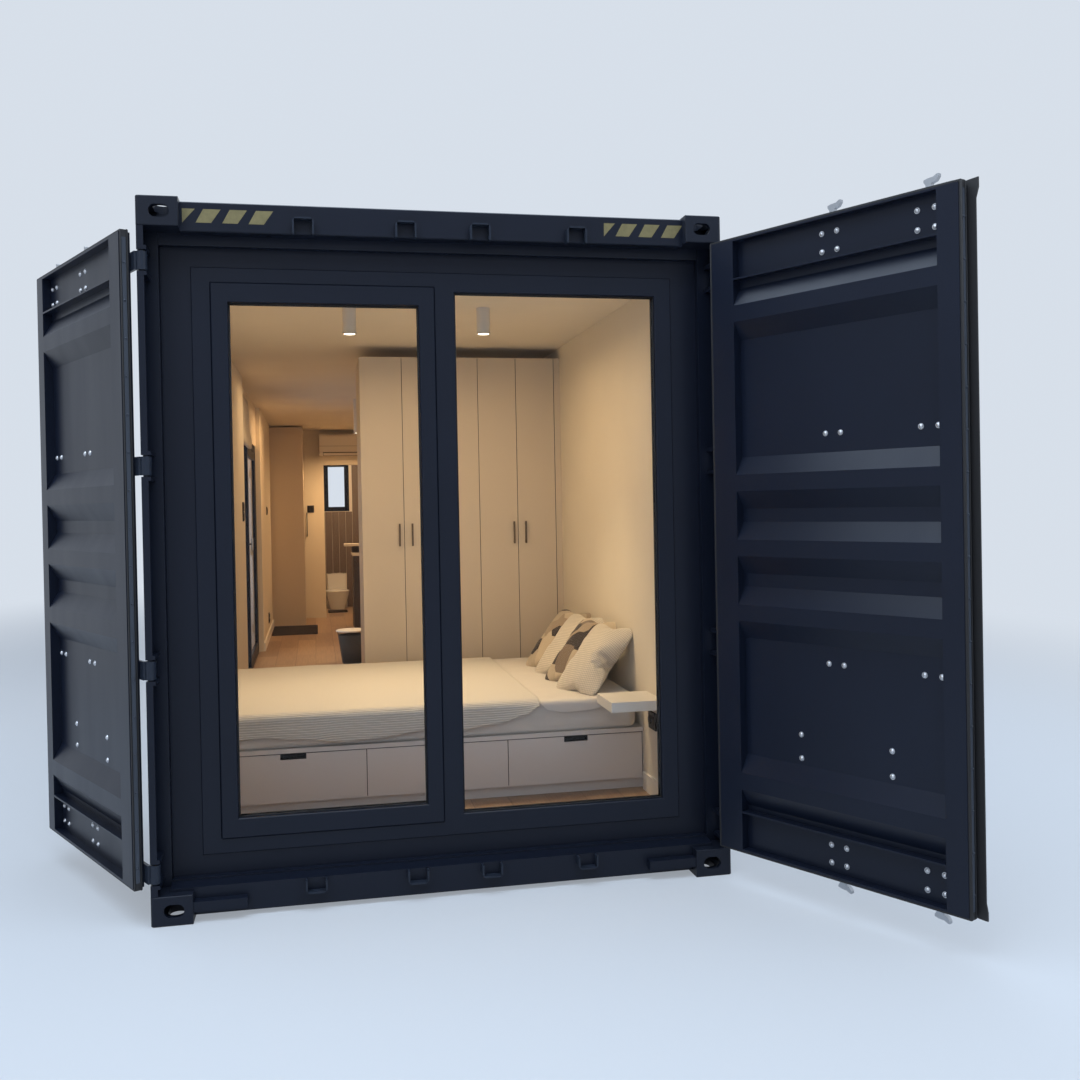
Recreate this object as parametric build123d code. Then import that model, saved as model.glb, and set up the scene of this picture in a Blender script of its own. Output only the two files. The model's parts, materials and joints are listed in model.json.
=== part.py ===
# Forty-foot high-cube freight container made into a one-room cabin.
# X is across the container, +Y runs into it from the cargo-door end, +Z is up; all sizes in millimetres.
# The origin is the middle of the footprint, on the plane of the bottom corner castings' undersides.
# The cargo doors stand open at the front and a glazed wall closes the opening behind them.
from build123d import *
import os

os.makedirs("parts", exist_ok=True)

# Container envelope
LENGTH = 12192.0
WIDTH = 2438.0
HEIGHT = 2896.0
FRONT = -LENGTH / 2
BACK = LENGTH / 2
HALF = WIDTH / 2
CLEAR = 5.0
SEAT = 0.5

# Corner castings
CASTING_X = 162.0
CASTING_Y = 178.0
CASTING_Z = 118.0
CASTING_WALL = 20.0
CASTING_FLOOR = 29.0
SLOT_IN_X = 89.5
SLOT_IN_Y = 103.5
SLOT_LONG = 124.0
SLOT_WIDE = 63.5
END_HOLE_IN = 89.0
SIDE_HOLE_IN = 101.5
SIDE_HOLE_LONG = 79.0
SIDE_HOLE_WIDE = 51.0
CASTING_TOP_Z = HEIGHT - CASTING_Z
BETWEEN = HALF - CASTING_X

# Steel shell
SKIN_IN = 2.0
POST_LIP = 29.0
POST_STEEL = 10.0
POST_THROAT = 118.0
POST_FLANGE = 69.0
SHEET = 3.0
FACE = 50.0
RAIL_IN = 64.0
RAIL_X = HALF - RAIL_IN
RAIL_OUT = HALF - 8.0
TOP_RAIL_OUT = HALF - 6.0
BOTTOM_RAIL_TOP = 170.0
BOTTOM_RAIL_LOW = 15.0
ROOF_RAIL_LOW = HEIGHT - 62.0
HEADER_TOP = HEIGHT - 7.0
SILL_LOW = 20.0

# Cargo doors: s runs along a closed leaf from its hinge pin, t runs inward from the pin.
PIN_X = HALF - 19.0
PIN_IN = 22.0
PIN_Y = FRONT + PIN_IN
PIN_R = 12.0
RUBBER = 8.0
LEAF_START = 43.0
LEAF_END = PIN_X - 18.0
LEAF_OUT = 30.0
LEAF_IN = 75.0
LEAF_LOW = 152.0
LEAF_HIGH = HEIGHT - 140.0
STILE_HINGE = 117.0
STILE_FREE = 85.0
RAIL_LOW_TALL = 170.0
RAIL_HIGH_TALL = 172.0
RAIL_PLATE = 8.0
RIB_FLAT = 70.0
RIB_SLOPE = 75.0
RIB_DEPTH = 42.0
RIB_LOW = 453.0
RIB_HIGH = HEIGHT - 455.0
RIB_PITCH = 275.5
HINGE_LOW = 207.0
HINGE_HIGH = HEIGHT - 256.0
BLADE_HALF = 37.0
LUG_IN = BLADE_HALF + 6.0
LUG_THICK = 16.0
LEFT_OPEN = 242.0
RIGHT_OPEN = 118.0

# Lock rods
ROD_T = 8.0
ROD_R = 14.0
ROD_INNER = LEAF_END - 147.0
ROD_OUTER = ROD_INNER - 417.0
ROD_S = (ROD_OUTER, ROD_INNER)
CAM_TALL = 60.0
CAM_THICK = 18.0
CAM_LONG = 40.0
CAM_SHORT = 20.0
HANDLE_Z = 638.0
HANDLE_LONG = 270.0
HANDLE_TALL = 26.0
HANDLE_THICK = 12.0

# Room
DECK_TOP = 156.0
FLOOR_Z = 165.0
CEILING_Z = HEIGHT - 185.0
LINING = 55.0
ROOM_X = RAIL_X - LINING
LINING_Y = FRONT + 218.0
LINING_END = BACK - 104.0
BACK_LINING = 70.0
ROOM_END = LINING_END - BACK_LINING


def block(x0, x1, y0, y1, z0, z1):
    """Box between two corners."""
    return Pos((x0 + x1) / 2, (y0 + y1) / 2, (z0 + z1) / 2) * Box(abs(x1 - x0), abs(y1 - y0), abs(z1 - z0))


def rod(x, y, z0, z1, r):
    """Upright cylinder."""
    return Pos(x, y, (z0 + z1) / 2) * Cylinder(r, z1 - z0)


def upright(points, z0, z1):
    """Plan outline in X and Y, extruded from z0 to z1."""
    return extrude(Plane.XY.offset(z0) * make_face(Polyline(*points, close=True)), z1 - z0)


def along_x(points, x0, x1):
    """Outline in Y and Z, extruded along X."""
    plane = Plane(origin=(x0, 0, 0), x_dir=(0, 1, 0), z_dir=(1, 0, 0))
    return extrude(plane * make_face(Polyline(*points, close=True)), x1 - x0)


def along_y(points, y0, y1):
    """Outline in X and Z, extruded along Y."""
    plane = Plane(origin=(0, y0, 0), x_dir=(1, 0, 0), z_dir=(0, -1, 0))
    return extrude(plane * make_face(Polyline(*points, close=True)), y0 - y1)


def front_edges(shape, y):
    """Edges that lie in the face at y."""
    return shape.edges().filter_by(lambda e: abs(e.bounding_box().min.Y - y) < 0.1 and abs(e.bounding_box().max.Y - y) < 0.1)


def save(shape, name):
    """Write one piece; a list of solids that do not touch becomes one compound."""
    if isinstance(shape, (list, tuple)):
        shape = Compound(children=[solid for item in shape for solid in item.solids()])
    export_step(shape, f"parts/{name}.step")


# Corner castings: hollow blocks with a slotted hole in the top or bottom and a hole in each outer face.
def casting(sx, sy, top):
    low = CASTING_TOP_Z if top else 0.0
    high = low + CASTING_Z
    x_out = sx * HALF
    x_in = sx * BETWEEN
    y_out = sy * BACK
    y_in = sy * (BACK - CASTING_Y)
    body = block(x_in, x_out, y_in, y_out, low, high)
    corner = body.edges().filter_by(Axis.Z).filter_by(
        lambda e: abs(e.center().X - x_out) < 1 and abs(e.center().Y - y_out) < 1)
    body = fillet(corner, 14)
    body = chamfer(front_edges(body, y_out), 3)
    body -= block(
        sx * (HALF - CASTING_WALL), sx * (BETWEEN + CASTING_WALL),
        sy * (BACK - CASTING_WALL), sy * (BACK - CASTING_Y + CASTING_WALL),
        low + CASTING_FLOOR, high - CASTING_FLOOR)
    z_hole = low + CASTING_Z / 2
    slot_plane = Plane(
        origin=(sx * (HALF - SLOT_IN_X), sy * (BACK - SLOT_IN_Y), high if top else low), x_dir=(0, 1, 0), z_dir=(0, 0, 1))
    body -= extrude(slot_plane * SlotOverall(SLOT_LONG, SLOT_WIDE), CASTING_FLOOR + 3, both=True)
    end_plane = Plane(origin=(sx * (HALF - END_HOLE_IN), y_out, z_hole), x_dir=(1, 0, 0), z_dir=(0, 1, 0))
    body -= extrude(end_plane * SlotOverall(SIDE_HOLE_LONG, SIDE_HOLE_WIDE), CASTING_WALL + 2, both=True)
    side_plane = Plane(origin=(x_out, sy * (BACK - SIDE_HOLE_IN), z_hole), x_dir=(0, 1, 0), z_dir=(1, 0, 0))
    body -= extrude(side_plane * SlotOverall(SIDE_HOLE_LONG, SIDE_HOLE_WIDE), CASTING_WALL + 2, both=True)
    return body


save([casting(sx, sy, False) for sy in (-1, 1) for sx in (-1, 1)], "bottom_corner_castings")
save([casting(sx, -1, True) for sx in (-1, 1)], "top_front_corner_castings")
save([casting(sx, 1, True) for sx in (-1, 1)], "top_back_corner_castings")

# Corner posts: open sections at the front, notched round each hinge with two lugs and a pin; closed boxes behind.
POST_OUT = HALF - SKIN_IN
POST_FRONT = FRONT + SKIN_IN
THROAT_Y = FRONT + POST_THROAT
FLANGE_X = HALF - POST_FLANGE
HINGE_STEP = (HINGE_HIGH - HINGE_LOW) / 3
HINGE_Z = [HINGE_LOW + HINGE_STEP * i for i in range(4)]


def front_post(sx):
    x_out = sx * POST_OUT
    x_lip = sx * (HALF - POST_LIP)
    x_web = sx * (HALF - POST_STEEL)
    x_flange = sx * FLANGE_X
    y_lip = POST_FRONT + POST_STEEL
    y_end = FRONT + CASTING_Y - SKIN_IN
    outline = [
        (x_out, POST_FRONT), (x_lip, POST_FRONT), (x_lip, y_lip), (x_web, y_lip),
        (x_web, THROAT_Y), (x_flange, THROAT_Y), (x_flange, y_end), (x_out, y_end),
    ]
    post = upright(outline, CASTING_Z, CASTING_TOP_Z)
    for z in HINGE_Z:
        post -= block(x_flange, sx * (HALF + CLEAR), FRONT - CLEAR, FRONT + 84, z - LUG_IN, z + LUG_IN)
        for side in (-1, 1):
            z_near = z + side * LUG_IN
            z_far = z + side * (LUG_IN + LUG_THICK)
            post += block(sx * (PIN_X - 20), x_out, POST_FRONT, THROAT_Y, z_near, z_far)
        post += rod(sx * PIN_X, PIN_Y, z - LUG_IN - LUG_THICK, z + LUG_IN + LUG_THICK, PIN_R)
    return post


posts = [front_post(-1), front_post(1)]
for sx in (-1, 1):
    back_post = block(sx * BETWEEN, sx * POST_OUT, BACK - 60, BACK - SKIN_IN, CASTING_Z, CASTING_TOP_Z)
    back_post += block(
        sx * (POST_OUT - POST_STEEL), sx * POST_OUT, BACK - CASTING_Y, BACK - 60, CASTING_Z, CASTING_TOP_Z)
    posts.append(back_post)
save(posts, "corner_posts")

# Door header: a box beam over the doorway, with a lip behind the leaves that runs on under the castings.
SEAL_X = FLANGE_X - 1.0
HEADER_LOW = LEAF_HIGH + RUBBER + CLEAR + 1.0
HEADER_LIP = HEIGHT - 168.0
HEADER_WALL = 6.0
header = along_x(
    [
        (FRONT + FACE, HEADER_LOW), (FRONT + FACE, HEADER_TOP), (FRONT + CASTING_Y, HEADER_TOP),
        (FRONT + CASTING_Y, HEADER_LIP), (THROAT_Y, HEADER_LIP), (THROAT_Y, HEADER_LOW),
    ],
    -BETWEEN, BETWEEN)
header -= block(
    -BETWEEN + 20, BETWEEN - 20, FRONT + FACE + HEADER_WALL, FRONT + CASTING_Y - HEADER_WALL,
    HEADER_LOW + HEADER_WALL, HEADER_TOP - HEADER_WALL)
header = chamfer(front_edges(header, FRONT + FACE).filter_by(Axis.X), 4)
for sx in (-1, 1):
    header += block(sx * (BETWEEN - 5), sx * SEAL_X, THROAT_Y, FRONT + CASTING_Y - SKIN_IN, HEADER_LIP, CASTING_TOP_Z)
save(header, "door_header")

# Door sill: a beam under a threshold plate that runs over the castings, with a gusset plate beside each casting.
SILL_TOP = LEAF_LOW - RUBBER - CLEAR - 1.0
SILL_STEP = SILL_TOP + 8.0
SILL_BACK = FRONT + 210.0
sill = along_x(
    [
        (FRONT + FACE, SILL_LOW), (FRONT + FACE, SILL_TOP - 7), (THROAT_Y, SILL_TOP),
        (THROAT_Y, SILL_STEP), (SILL_BACK, SILL_STEP), (SILL_BACK, SILL_LOW),
    ],
    -BETWEEN, BETWEEN)
sill += along_x(
    [
        (FRONT + FACE, CASTING_Z), (FRONT + FACE, SILL_TOP - 7), (THROAT_Y, SILL_TOP),
        (THROAT_Y, SILL_STEP), (FRONT + CASTING_Y - SKIN_IN, SILL_STEP), (FRONT + CASTING_Y - SKIN_IN, CASTING_Z),
    ],
    -SEAL_X, SEAL_X)
GUSSET = 210.0
for sx in (-1, 1):
    sill += block(sx * (BETWEEN - GUSSET), sx * BETWEEN, FRONT + 8, FRONT + FACE, 45, 85)
save(sill, "door_sill")

# Keepers for the lock-rod cams: two cheeks and a closing web with cut corners, open at the front.
ROD_X = [PIN_X - s for s in ROD_S]
CHEEK = 8.0
KEEPER_WEB = 7.0
KEEPER_FRONT = FRONT + 12.0
CAM_FOOT = LEAF_HIGH + RUBBER - 2.0
CAM_TIP = CAM_FOOT + CAM_TALL
LEAF_MID = LEAF_LOW + LEAF_HIGH


def keeper(x, side, upper):
    """Keeper round the cam at rod place x; side points to the hinge."""
    far = CAM_LONG + CLEAR
    near = CAM_SHORT + CLEAR + 2
    z_open = CAM_FOOT + 2 if upper else CAM_FOOT + 18
    z_web = CAM_TIP + CLEAR
    z_top = z_web + KEEPER_WEB
    outline = [
        (-near - CHEEK, z_open), (-near, z_open), (-near, z_web), (far, z_web), (far, z_open), (far + CHEEK, z_open),
        (far + CHEEK, z_top - 14), (far + CHEEK - 14, z_top), (-near - CHEEK + 14, z_top), (-near - CHEEK, z_top - 14),
    ]
    points = [(x - side * s, z if upper else LEAF_MID - z) for s, z in outline]
    return along_y(points, KEEPER_FRONT, FRONT + FACE)


keepers = []
for sx in (-1, 1):
    for x in ROD_X:
        keepers.append(keeper(sx * x, sx, True))
        keepers.append(keeper(sx * x, sx, False))
save(keepers, "cam_keepers")

# Back end frame: the beam over and the beam under the end wall.
END_BEAM_LOW = HEIGHT - 106.0
END_SILL_TOP = 150.0
save([
    block(-BETWEEN, BETWEEN, BACK - 80, BACK - SKIN_IN, END_BEAM_LOW, HEADER_TOP),
    block(-BETWEEN, BETWEEN, BACK - 100, BACK - SKIN_IN, SILL_LOW, END_SILL_TOP),
], "back_end_frame")

# Side rails: two channels along the floor and two square tubes along the roof edge.
WALL_Y0 = FRONT + CASTING_Y
WALL_Y1 = BACK - CASTING_Y
rails = []
for sx in (-1, 1):
    low = block(sx * RAIL_X, sx * RAIL_OUT, WALL_Y0, WALL_Y1, BOTTOM_RAIL_LOW, BOTTOM_RAIL_TOP)
    low -= block(
        sx * (RAIL_X - CLEAR), sx * (RAIL_OUT - 6), WALL_Y0 - CLEAR, WALL_Y1 + CLEAR,
        BOTTOM_RAIL_LOW + 6, BOTTOM_RAIL_TOP - 6)
    rails.append(low)
    rails.append(block(sx * RAIL_X, sx * TOP_RAIL_OUT, WALL_Y0, WALL_Y1, ROOF_RAIL_LOW, HEADER_TOP))
save(rails, "side_rails")


# Corrugated sheets: trapezoid waves, given as (distance, offset) points along one face.
def wave_points(start, end, pitch, flat, depth):
    slope = pitch / 2 - flat
    points = [(start, 0.0)]
    at = start + flat / 2
    while at + 2 * slope + flat < end:
        points.append((at, 0.0))
        points.append((at + slope, depth))
        points.append((at + slope + flat, depth))
        points.append((at + 2 * slope + flat, 0.0))
        at += pitch
    points.append((end, 0.0))
    return points


WALL_OUT = HALF - 11.0
WALL_PITCH = 278.0
WALL_FLAT = 71.0
WALL_DEPTH = 36.0
DOOR_Y0 = FRONT + 4500.0
DOOR_Y1 = FRONT + 7150.0
DOOR_Z1 = 2300.0


def side_sheet(sx, y0, y1, z0, z1):
    wave = wave_points(y0, y1, WALL_PITCH, WALL_FLAT, WALL_DEPTH)
    outline = [(sx * (WALL_OUT - d), y) for y, d in wave]
    outline += [(sx * (WALL_OUT - SHEET - d), y) for y, d in reversed(wave)]
    return upright(outline, z0, z1)


save([
    side_sheet(-1, WALL_Y0, DOOR_Y0 - SEAT, BOTTOM_RAIL_TOP, ROOF_RAIL_LOW),
    side_sheet(-1, DOOR_Y1 + SEAT, WALL_Y1, BOTTOM_RAIL_TOP, ROOF_RAIL_LOW),
    side_sheet(-1, DOOR_Y0, DOOR_Y1, DOOR_Z1, ROOF_RAIL_LOW),
    side_sheet(1, WALL_Y0, WALL_Y1, BOTTOM_RAIL_TOP, ROOF_RAIL_LOW),
], "side_walls")

# Roof sheet: cross corrugations between the top rails, cut round the back castings.
wave = wave_points(WALL_Y0, BACK - 80, 209.0, 60.0, 20.0)
outline = [(y, HEADER_TOP - 5 - d) for y, d in wave] + [(y, HEADER_TOP - 5 - SHEET - d) for y, d in reversed(wave)]
roof = along_x(outline, -RAIL_X, RAIL_X)
for sx in (-1, 1):
    roof -= block(sx * (BETWEEN - 1), sx * HALF, WALL_Y1, BACK, CASTING_TOP_Z, HEIGHT)
save(roof, "roof_panel")

# Back end wall: upright corrugations with the bathroom window cut through.
BATH_X0 = -415.0
BATH_X1 = -43.0
BATH_Z0 = 1605.0
BATH_Z1 = 2340.0
wave = wave_points(-BETWEEN, BETWEEN, 250.0, 80.0, 40.0)
outline = [(x, BACK - 12 - d) for x, d in wave] + [(x, BACK - 12 - SHEET - d) for x, d in reversed(wave)]
back_wall = upright(outline, END_SILL_TOP, END_BEAM_LOW)
back_wall -= block(BATH_X0, BATH_X1, BACK - 80, BACK, BATH_Z0, BATH_Z1)
save(back_wall, "back_end_wall")

# Floor frame: cross members carrying the deck.
DECK_LOW = 140.0
MEMBER = 45.0
MEMBER_LOW = 24.0
MEMBER_PITCH = 600.0
deck = block(-RAIL_X, RAIL_X, SILL_BACK + 1, BACK - 101, DECK_LOW, DECK_TOP)
y = FRONT + 450
while y < BACK - 300:
    deck += block(-RAIL_X, RAIL_X, y, y + MEMBER, MEMBER_LOW, DECK_LOW)
    y += MEMBER_PITCH
save(deck, "floor_frame")

# Front infill wall: closes the doorway round the glazed unit.
INFILL_Y0 = FRONT + 152.0
INFILL_Y1 = FRONT + 210.0
UNIT_X = HALF - 189.0
UNIT_Z0 = 228.0
UNIT_Z1 = HEIGHT - 247.0
infill = block(-SEAL_X, SEAL_X, INFILL_Y0, INFILL_Y1, SILL_STEP, HEADER_LIP)
infill -= block(-UNIT_X, UNIT_X, INFILL_Y0 - 10, INFILL_Y1 + 10, UNIT_Z0, UNIT_Z1)
save(infill, "front_infill_wall")

# Window frames: the front unit with its mullion, and the small bathroom window in the back wall.
UNIT_Y0 = FRONT + 146.0
UNIT_Y1 = FRONT + 216.0
SASH_X0 = -UNIT_X + 77.0
SASH_X1 = -30.0
SASH_Z0 = UNIT_Z0 + 62.0
SASH_Z1 = UNIT_Z1 - 63.0
FIXED_X0 = 57.0
FIXED_X1 = UNIT_X - 76.0
FIXED_Z0 = UNIT_Z0 + 90.0
FIXED_Z1 = UNIT_Z1 - 82.0
SASH_STILE = 69.0
SASH_RAIL = 80.0
BATH_FRAME = 66.0
EASE = 3.0
frame = block(-UNIT_X, UNIT_X, UNIT_Y0, UNIT_Y1, UNIT_Z0, UNIT_Z1)
frame -= block(SASH_X0, SASH_X1, UNIT_Y0 - CLEAR, UNIT_Y1 + CLEAR, SASH_Z0, SASH_Z1)
frame -= block(FIXED_X0, FIXED_X1, UNIT_Y0 - CLEAR, UNIT_Y1 + CLEAR, FIXED_Z0, FIXED_Z1)
frame = chamfer(front_edges(frame, UNIT_Y0), EASE)
bath = block(BATH_X0 + SEAT, BATH_X1 - SEAT, BACK - 178, BACK - 8, BATH_Z0 + SEAT, BATH_Z1 - SEAT)
bath -= block(
    BATH_X0 + BATH_FRAME, BATH_X1 - BATH_FRAME, BACK - 180, BACK, BATH_Z0 + BATH_FRAME, BATH_Z1 - BATH_FRAME)
save([frame, bath], "window_frames")

# Sash: the opening light on the left of the front unit.
PANE_X0 = SASH_X0 + SASH_STILE
PANE_X1 = SASH_X1 - SASH_STILE
PANE_Z0 = SASH_Z0 + SASH_RAIL
PANE_Z1 = SASH_Z1 - SASH_RAIL
SASH_Y0 = FRONT + 138.0
sash = block(SASH_X0 + SEAT, SASH_X1 - SEAT, SASH_Y0, FRONT + 208, SASH_Z0 + SEAT, SASH_Z1 - SEAT)
sash -= block(PANE_X0, PANE_X1, SASH_Y0 - CLEAR, UNIT_Y1, PANE_Z0, PANE_Z1)
sash = chamfer(front_edges(sash, SASH_Y0), EASE)
save(sash, "window_sash")

# Side entrance: a fixed frame in the left wall with a fixed light, and a glazed leaf that opens outward.
JAMB = 60.0
SIDE_OUT = HALF - 10.0
SIDE_IN = SIDE_OUT - 59.0
THRESHOLD = 26.0
DOOR_MID = (DOOR_Y0 + DOOR_Y1) / 2
LIGHT_Z0 = BOTTOM_RAIL_TOP + THRESHOLD
LIGHT_Z1 = DOOR_Z1 - JAMB
side_frame = block(-SIDE_OUT, -SIDE_IN, DOOR_Y0 + SEAT, DOOR_Y1 - SEAT, BOTTOM_RAIL_TOP + SEAT, DOOR_Z1 - SEAT)
for y0, y1 in ((DOOR_Y0 + JAMB, DOOR_MID - JAMB / 2), (DOOR_MID + JAMB / 2, DOOR_Y1 - JAMB)):
    side_frame -= block(-SIDE_OUT - CLEAR, -SIDE_IN + CLEAR, y0, y1, LIGHT_Z0, LIGHT_Z1)
SIDE_HINGE_Z = [LIGHT_Z0 + 224.0, (LIGHT_Z0 + LIGHT_Z1) / 2, LIGHT_Z1 - 224.0]
SIDE_PIN_X = -SIDE_OUT - 13.0
SIDE_PIN_Y = DOOR_Y1 - JAMB - CLEAR / 2
SIDE_PIN_R = 6.0
KNUCKLE_R = 11.0
KNUCKLE_HALF = 30.0
SIDE_LUG = 11.0
SIDE_LUG_R = 9.0
for z in SIDE_HINGE_Z:
    z_low = z - KNUCKLE_HALF - 1
    z_high = z + KNUCKLE_HALF + 1
    side_frame += rod(SIDE_PIN_X, SIDE_PIN_Y, z_low - SIDE_LUG, z_high + SIDE_LUG, SIDE_PIN_R)
    for z0, z1 in ((z_low - SIDE_LUG, z_low), (z_high, z_high + SIDE_LUG)):
        side_frame += rod(SIDE_PIN_X, SIDE_PIN_Y, z0, z1, SIDE_LUG_R)
        side_frame += block(SIDE_PIN_X - SIDE_LUG_R, -SIDE_OUT, SIDE_PIN_Y, SIDE_PIN_Y + 30, z0, z1)
save(side_frame, "side_door_frame")
SIDE_FREE = 8.0
SIDE_LEAF = 55.0
SIDE_STILE = 78.0
SIDE_Y0 = DOOR_MID + JAMB / 2 + SIDE_FREE
SIDE_Y1 = DOOR_Y1 - JAMB - CLEAR
SIDE_Z0 = LIGHT_Z0 + CLEAR
SIDE_Z1 = LIGHT_Z1 - CLEAR
GRIP_Z = 1330.0
GRIP_TALL = 110.0
GRIP = 16.0
GRIP_OUT = 36.0
side_leaf = block(-SIDE_OUT, -SIDE_OUT + SIDE_LEAF, SIDE_Y0, SIDE_Y1, SIDE_Z0, SIDE_Z1)
side_leaf -= block(
    -SIDE_OUT - CLEAR, -SIDE_IN + CLEAR, SIDE_Y0 + SIDE_STILE, SIDE_Y1 - SIDE_STILE,
    SIDE_Z0 + SIDE_STILE, SIDE_Z1 - SIDE_STILE)
for face, way in ((-SIDE_OUT, -1), (-SIDE_OUT + SIDE_LEAF, 1)):
    grip = face + way * GRIP_OUT
    side_leaf += block(face, grip, SIDE_Y0 + 30, SIDE_Y0 + 30 + GRIP, GRIP_Z - GRIP / 2, GRIP_Z + GRIP / 2)
    side_leaf += block(
        grip - way * GRIP, grip, SIDE_Y0 + 30, SIDE_Y0 + 30 + GRIP, GRIP_Z - GRIP_TALL / 2, GRIP_Z + GRIP_TALL / 2)
for z in SIDE_HINGE_Z:
    side_leaf += rod(SIDE_PIN_X, SIDE_PIN_Y, z - KNUCKLE_HALF, z + KNUCKLE_HALF, KNUCKLE_R)
    side_leaf += block(
        SIDE_PIN_X - 4, -SIDE_OUT, SIDE_Y1 - 40, SIDE_PIN_Y - 1, z - KNUCKLE_HALF, z + KNUCKLE_HALF)
    side_leaf -= rod(SIDE_PIN_X, SIDE_PIN_Y, z - KNUCKLE_HALF - 1, z + KNUCKLE_HALF + 1, SIDE_PIN_R + 0.3)
save(side_leaf, "side_door_leaf")

# Glass: the front unit's two panes, the bathroom window's, the side entrance's fixed light and its leaf's.
PANE = 24.0
PANE_Y = FRONT + 166.0
SIDE_PANE_X = -SIDE_OUT + 18.0


def pane(x0, x1, y0, y1, z0, z1):
    """Upright pane that stops short of its rebate all round, but not across its thickness."""
    if abs(x1 - x0) > abs(y1 - y0):
        return block(x0 + SEAT, x1 - SEAT, y0, y1, z0 + SEAT, z1 - SEAT)
    return block(x0, x1, y0 + SEAT, y1 - SEAT, z0 + SEAT, z1 - SEAT)


save([
    pane(PANE_X0, PANE_X1, PANE_Y, PANE_Y + PANE, PANE_Z0, PANE_Z1),
    pane(FIXED_X0, FIXED_X1, PANE_Y, PANE_Y + PANE, FIXED_Z0, FIXED_Z1),
    pane(
        BATH_X0 + BATH_FRAME, BATH_X1 - BATH_FRAME, BACK - 60, BACK - 60 + PANE,
        BATH_Z0 + BATH_FRAME, BATH_Z1 - BATH_FRAME),
    pane(SIDE_PANE_X, SIDE_PANE_X + PANE, DOOR_Y0 + JAMB, DOOR_MID - JAMB / 2, LIGHT_Z0, LIGHT_Z1),
], "window_glass")
save(pane(
    SIDE_PANE_X, SIDE_PANE_X + PANE, SIDE_Y0 + SIDE_STILE, SIDE_Y1 - SIDE_STILE,
    SIDE_Z0 + SIDE_STILE, SIDE_Z1 - SIDE_STILE), "side_door_glass")

# Room linings: insulated panels on the side walls, the back wall and the ceiling, recessed over the side entrance.
LINING_X = RAIL_X - 1.0
LINING_LOW = DECK_TOP + SEAT
LINING_TOP = CASTING_TOP_Z - 2.0
OVER_DOOR = 14.0
back_lining = block(-ROOM_X + 1, ROOM_X - 1, ROOM_END, LINING_END, LINING_LOW, CEILING_Z)
back_lining -= block(BATH_X0, BATH_X1, ROOM_END - 10, LINING_END + 10, BATH_Z0, BATH_Z1)
save([
    block(-LINING_X, -ROOM_X, LINING_Y, DOOR_Y0 - SEAT, LINING_LOW, CEILING_Z),
    block(-LINING_X, -ROOM_X, DOOR_Y1 + SEAT, LINING_END, LINING_LOW, CEILING_Z),
    block(-LINING_X, -LINING_X + OVER_DOOR, DOOR_Y0, DOOR_Y1, DOOR_Z1, CEILING_Z),
    block(ROOM_X, LINING_X, LINING_Y, LINING_END, LINING_LOW, CEILING_Z),
    back_lining,
    block(-LINING_X, LINING_X, LINING_Y, LINING_END, CEILING_Z + SEAT, LINING_TOP),
], "room_linings")

# Finished floor, with a strip that runs into the side entrance, and skirting boards along the side walls.
floor = block(-ROOM_X + SEAT, ROOM_X - SEAT, LINING_Y, ROOM_END - 1, DECK_TOP, FLOOR_Z)
floor += block(-SIDE_IN + 1, -ROOM_X + 5, DOOR_Y0 + SEAT, DOOR_Y1 - SEAT, DECK_TOP, FLOOR_Z)
save(floor, "laminate_floor")
PARTITION_Y = BACK - 1692.0
CABINET_Y = PARTITION_Y - 900.0
BED_Y0 = FRONT + 905.0
SKIRT = 15.0
SKIRT_TOP = FLOOR_Z + 90.0
save([
    block(-ROOM_X, -ROOM_X + SKIRT, DOOR_Y1 + 20, CABINET_Y - 1, FLOOR_Z, SKIRT_TOP),
    block(ROOM_X - SKIRT, ROOM_X, LINING_Y + 2, BED_Y0 - 25, FLOOR_Z, SKIRT_TOP),
], "skirting_boards")

# Bathroom partition with its doorway and the cover of its sliding-door track.
PARTITION = 90.0
BATH_DOOR_X0 = -425.0
BATH_DOOR_X1 = 330.0
BATH_DOOR_DOWN = 471.0
BATH_DOOR_Z = CEILING_Z - BATH_DOOR_DOWN
partition = block(-ROOM_X + SEAT, ROOM_X - SEAT, PARTITION_Y, PARTITION_Y + PARTITION, FLOOR_Z, CEILING_Z)
partition -= block(
    BATH_DOOR_X0, BATH_DOOR_X1, PARTITION_Y - 10, PARTITION_Y + PARTITION + 10, FLOOR_Z - CLEAR, BATH_DOOR_Z)
partition += block(
    BATH_DOOR_X0 - 90, BATH_DOOR_X1 + 90, PARTITION_Y - 25, PARTITION_Y + 1, BATH_DOOR_Z + 4, BATH_DOOR_Z + 62)
save(partition, "bathroom_partition")

# Wardrobe across the room behind the bed: four doors with a bar handle each, and a filler at the wall.
GROOVE = 4.0
GROOVE_DEEP = 14.0
WARDROBE_LONG = 1347.0
WARDROBE_X0 = ROOM_X - WARDROBE_LONG
WARDROBE_Y = FRONT + 2700.0
WARDROBE_DEEP = 600.0
WARDROBE_TOP = CEILING_Z - 73.0
WARDROBE_SEAMS = (43.0, 306.0, 565.0, 1072.0)
WARDROBE_GRIPS = (255.0, 335.0, 1020.0, 1104.0)
BAR_LOW = 1389.0
BAR_TALL = 149.0
wardrobe = block(WARDROBE_X0, ROOM_X - SEAT, WARDROBE_Y, WARDROBE_Y + WARDROBE_DEEP, FLOOR_Z, WARDROBE_TOP)
for inset in WARDROBE_SEAMS:
    x = ROOM_X - inset
    wardrobe -= block(
        x - GROOVE / 2, x + GROOVE / 2, WARDROBE_Y - CLEAR, WARDROBE_Y + GROOVE_DEEP, FLOOR_Z + 95, WARDROBE_TOP - GROOVE)
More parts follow.
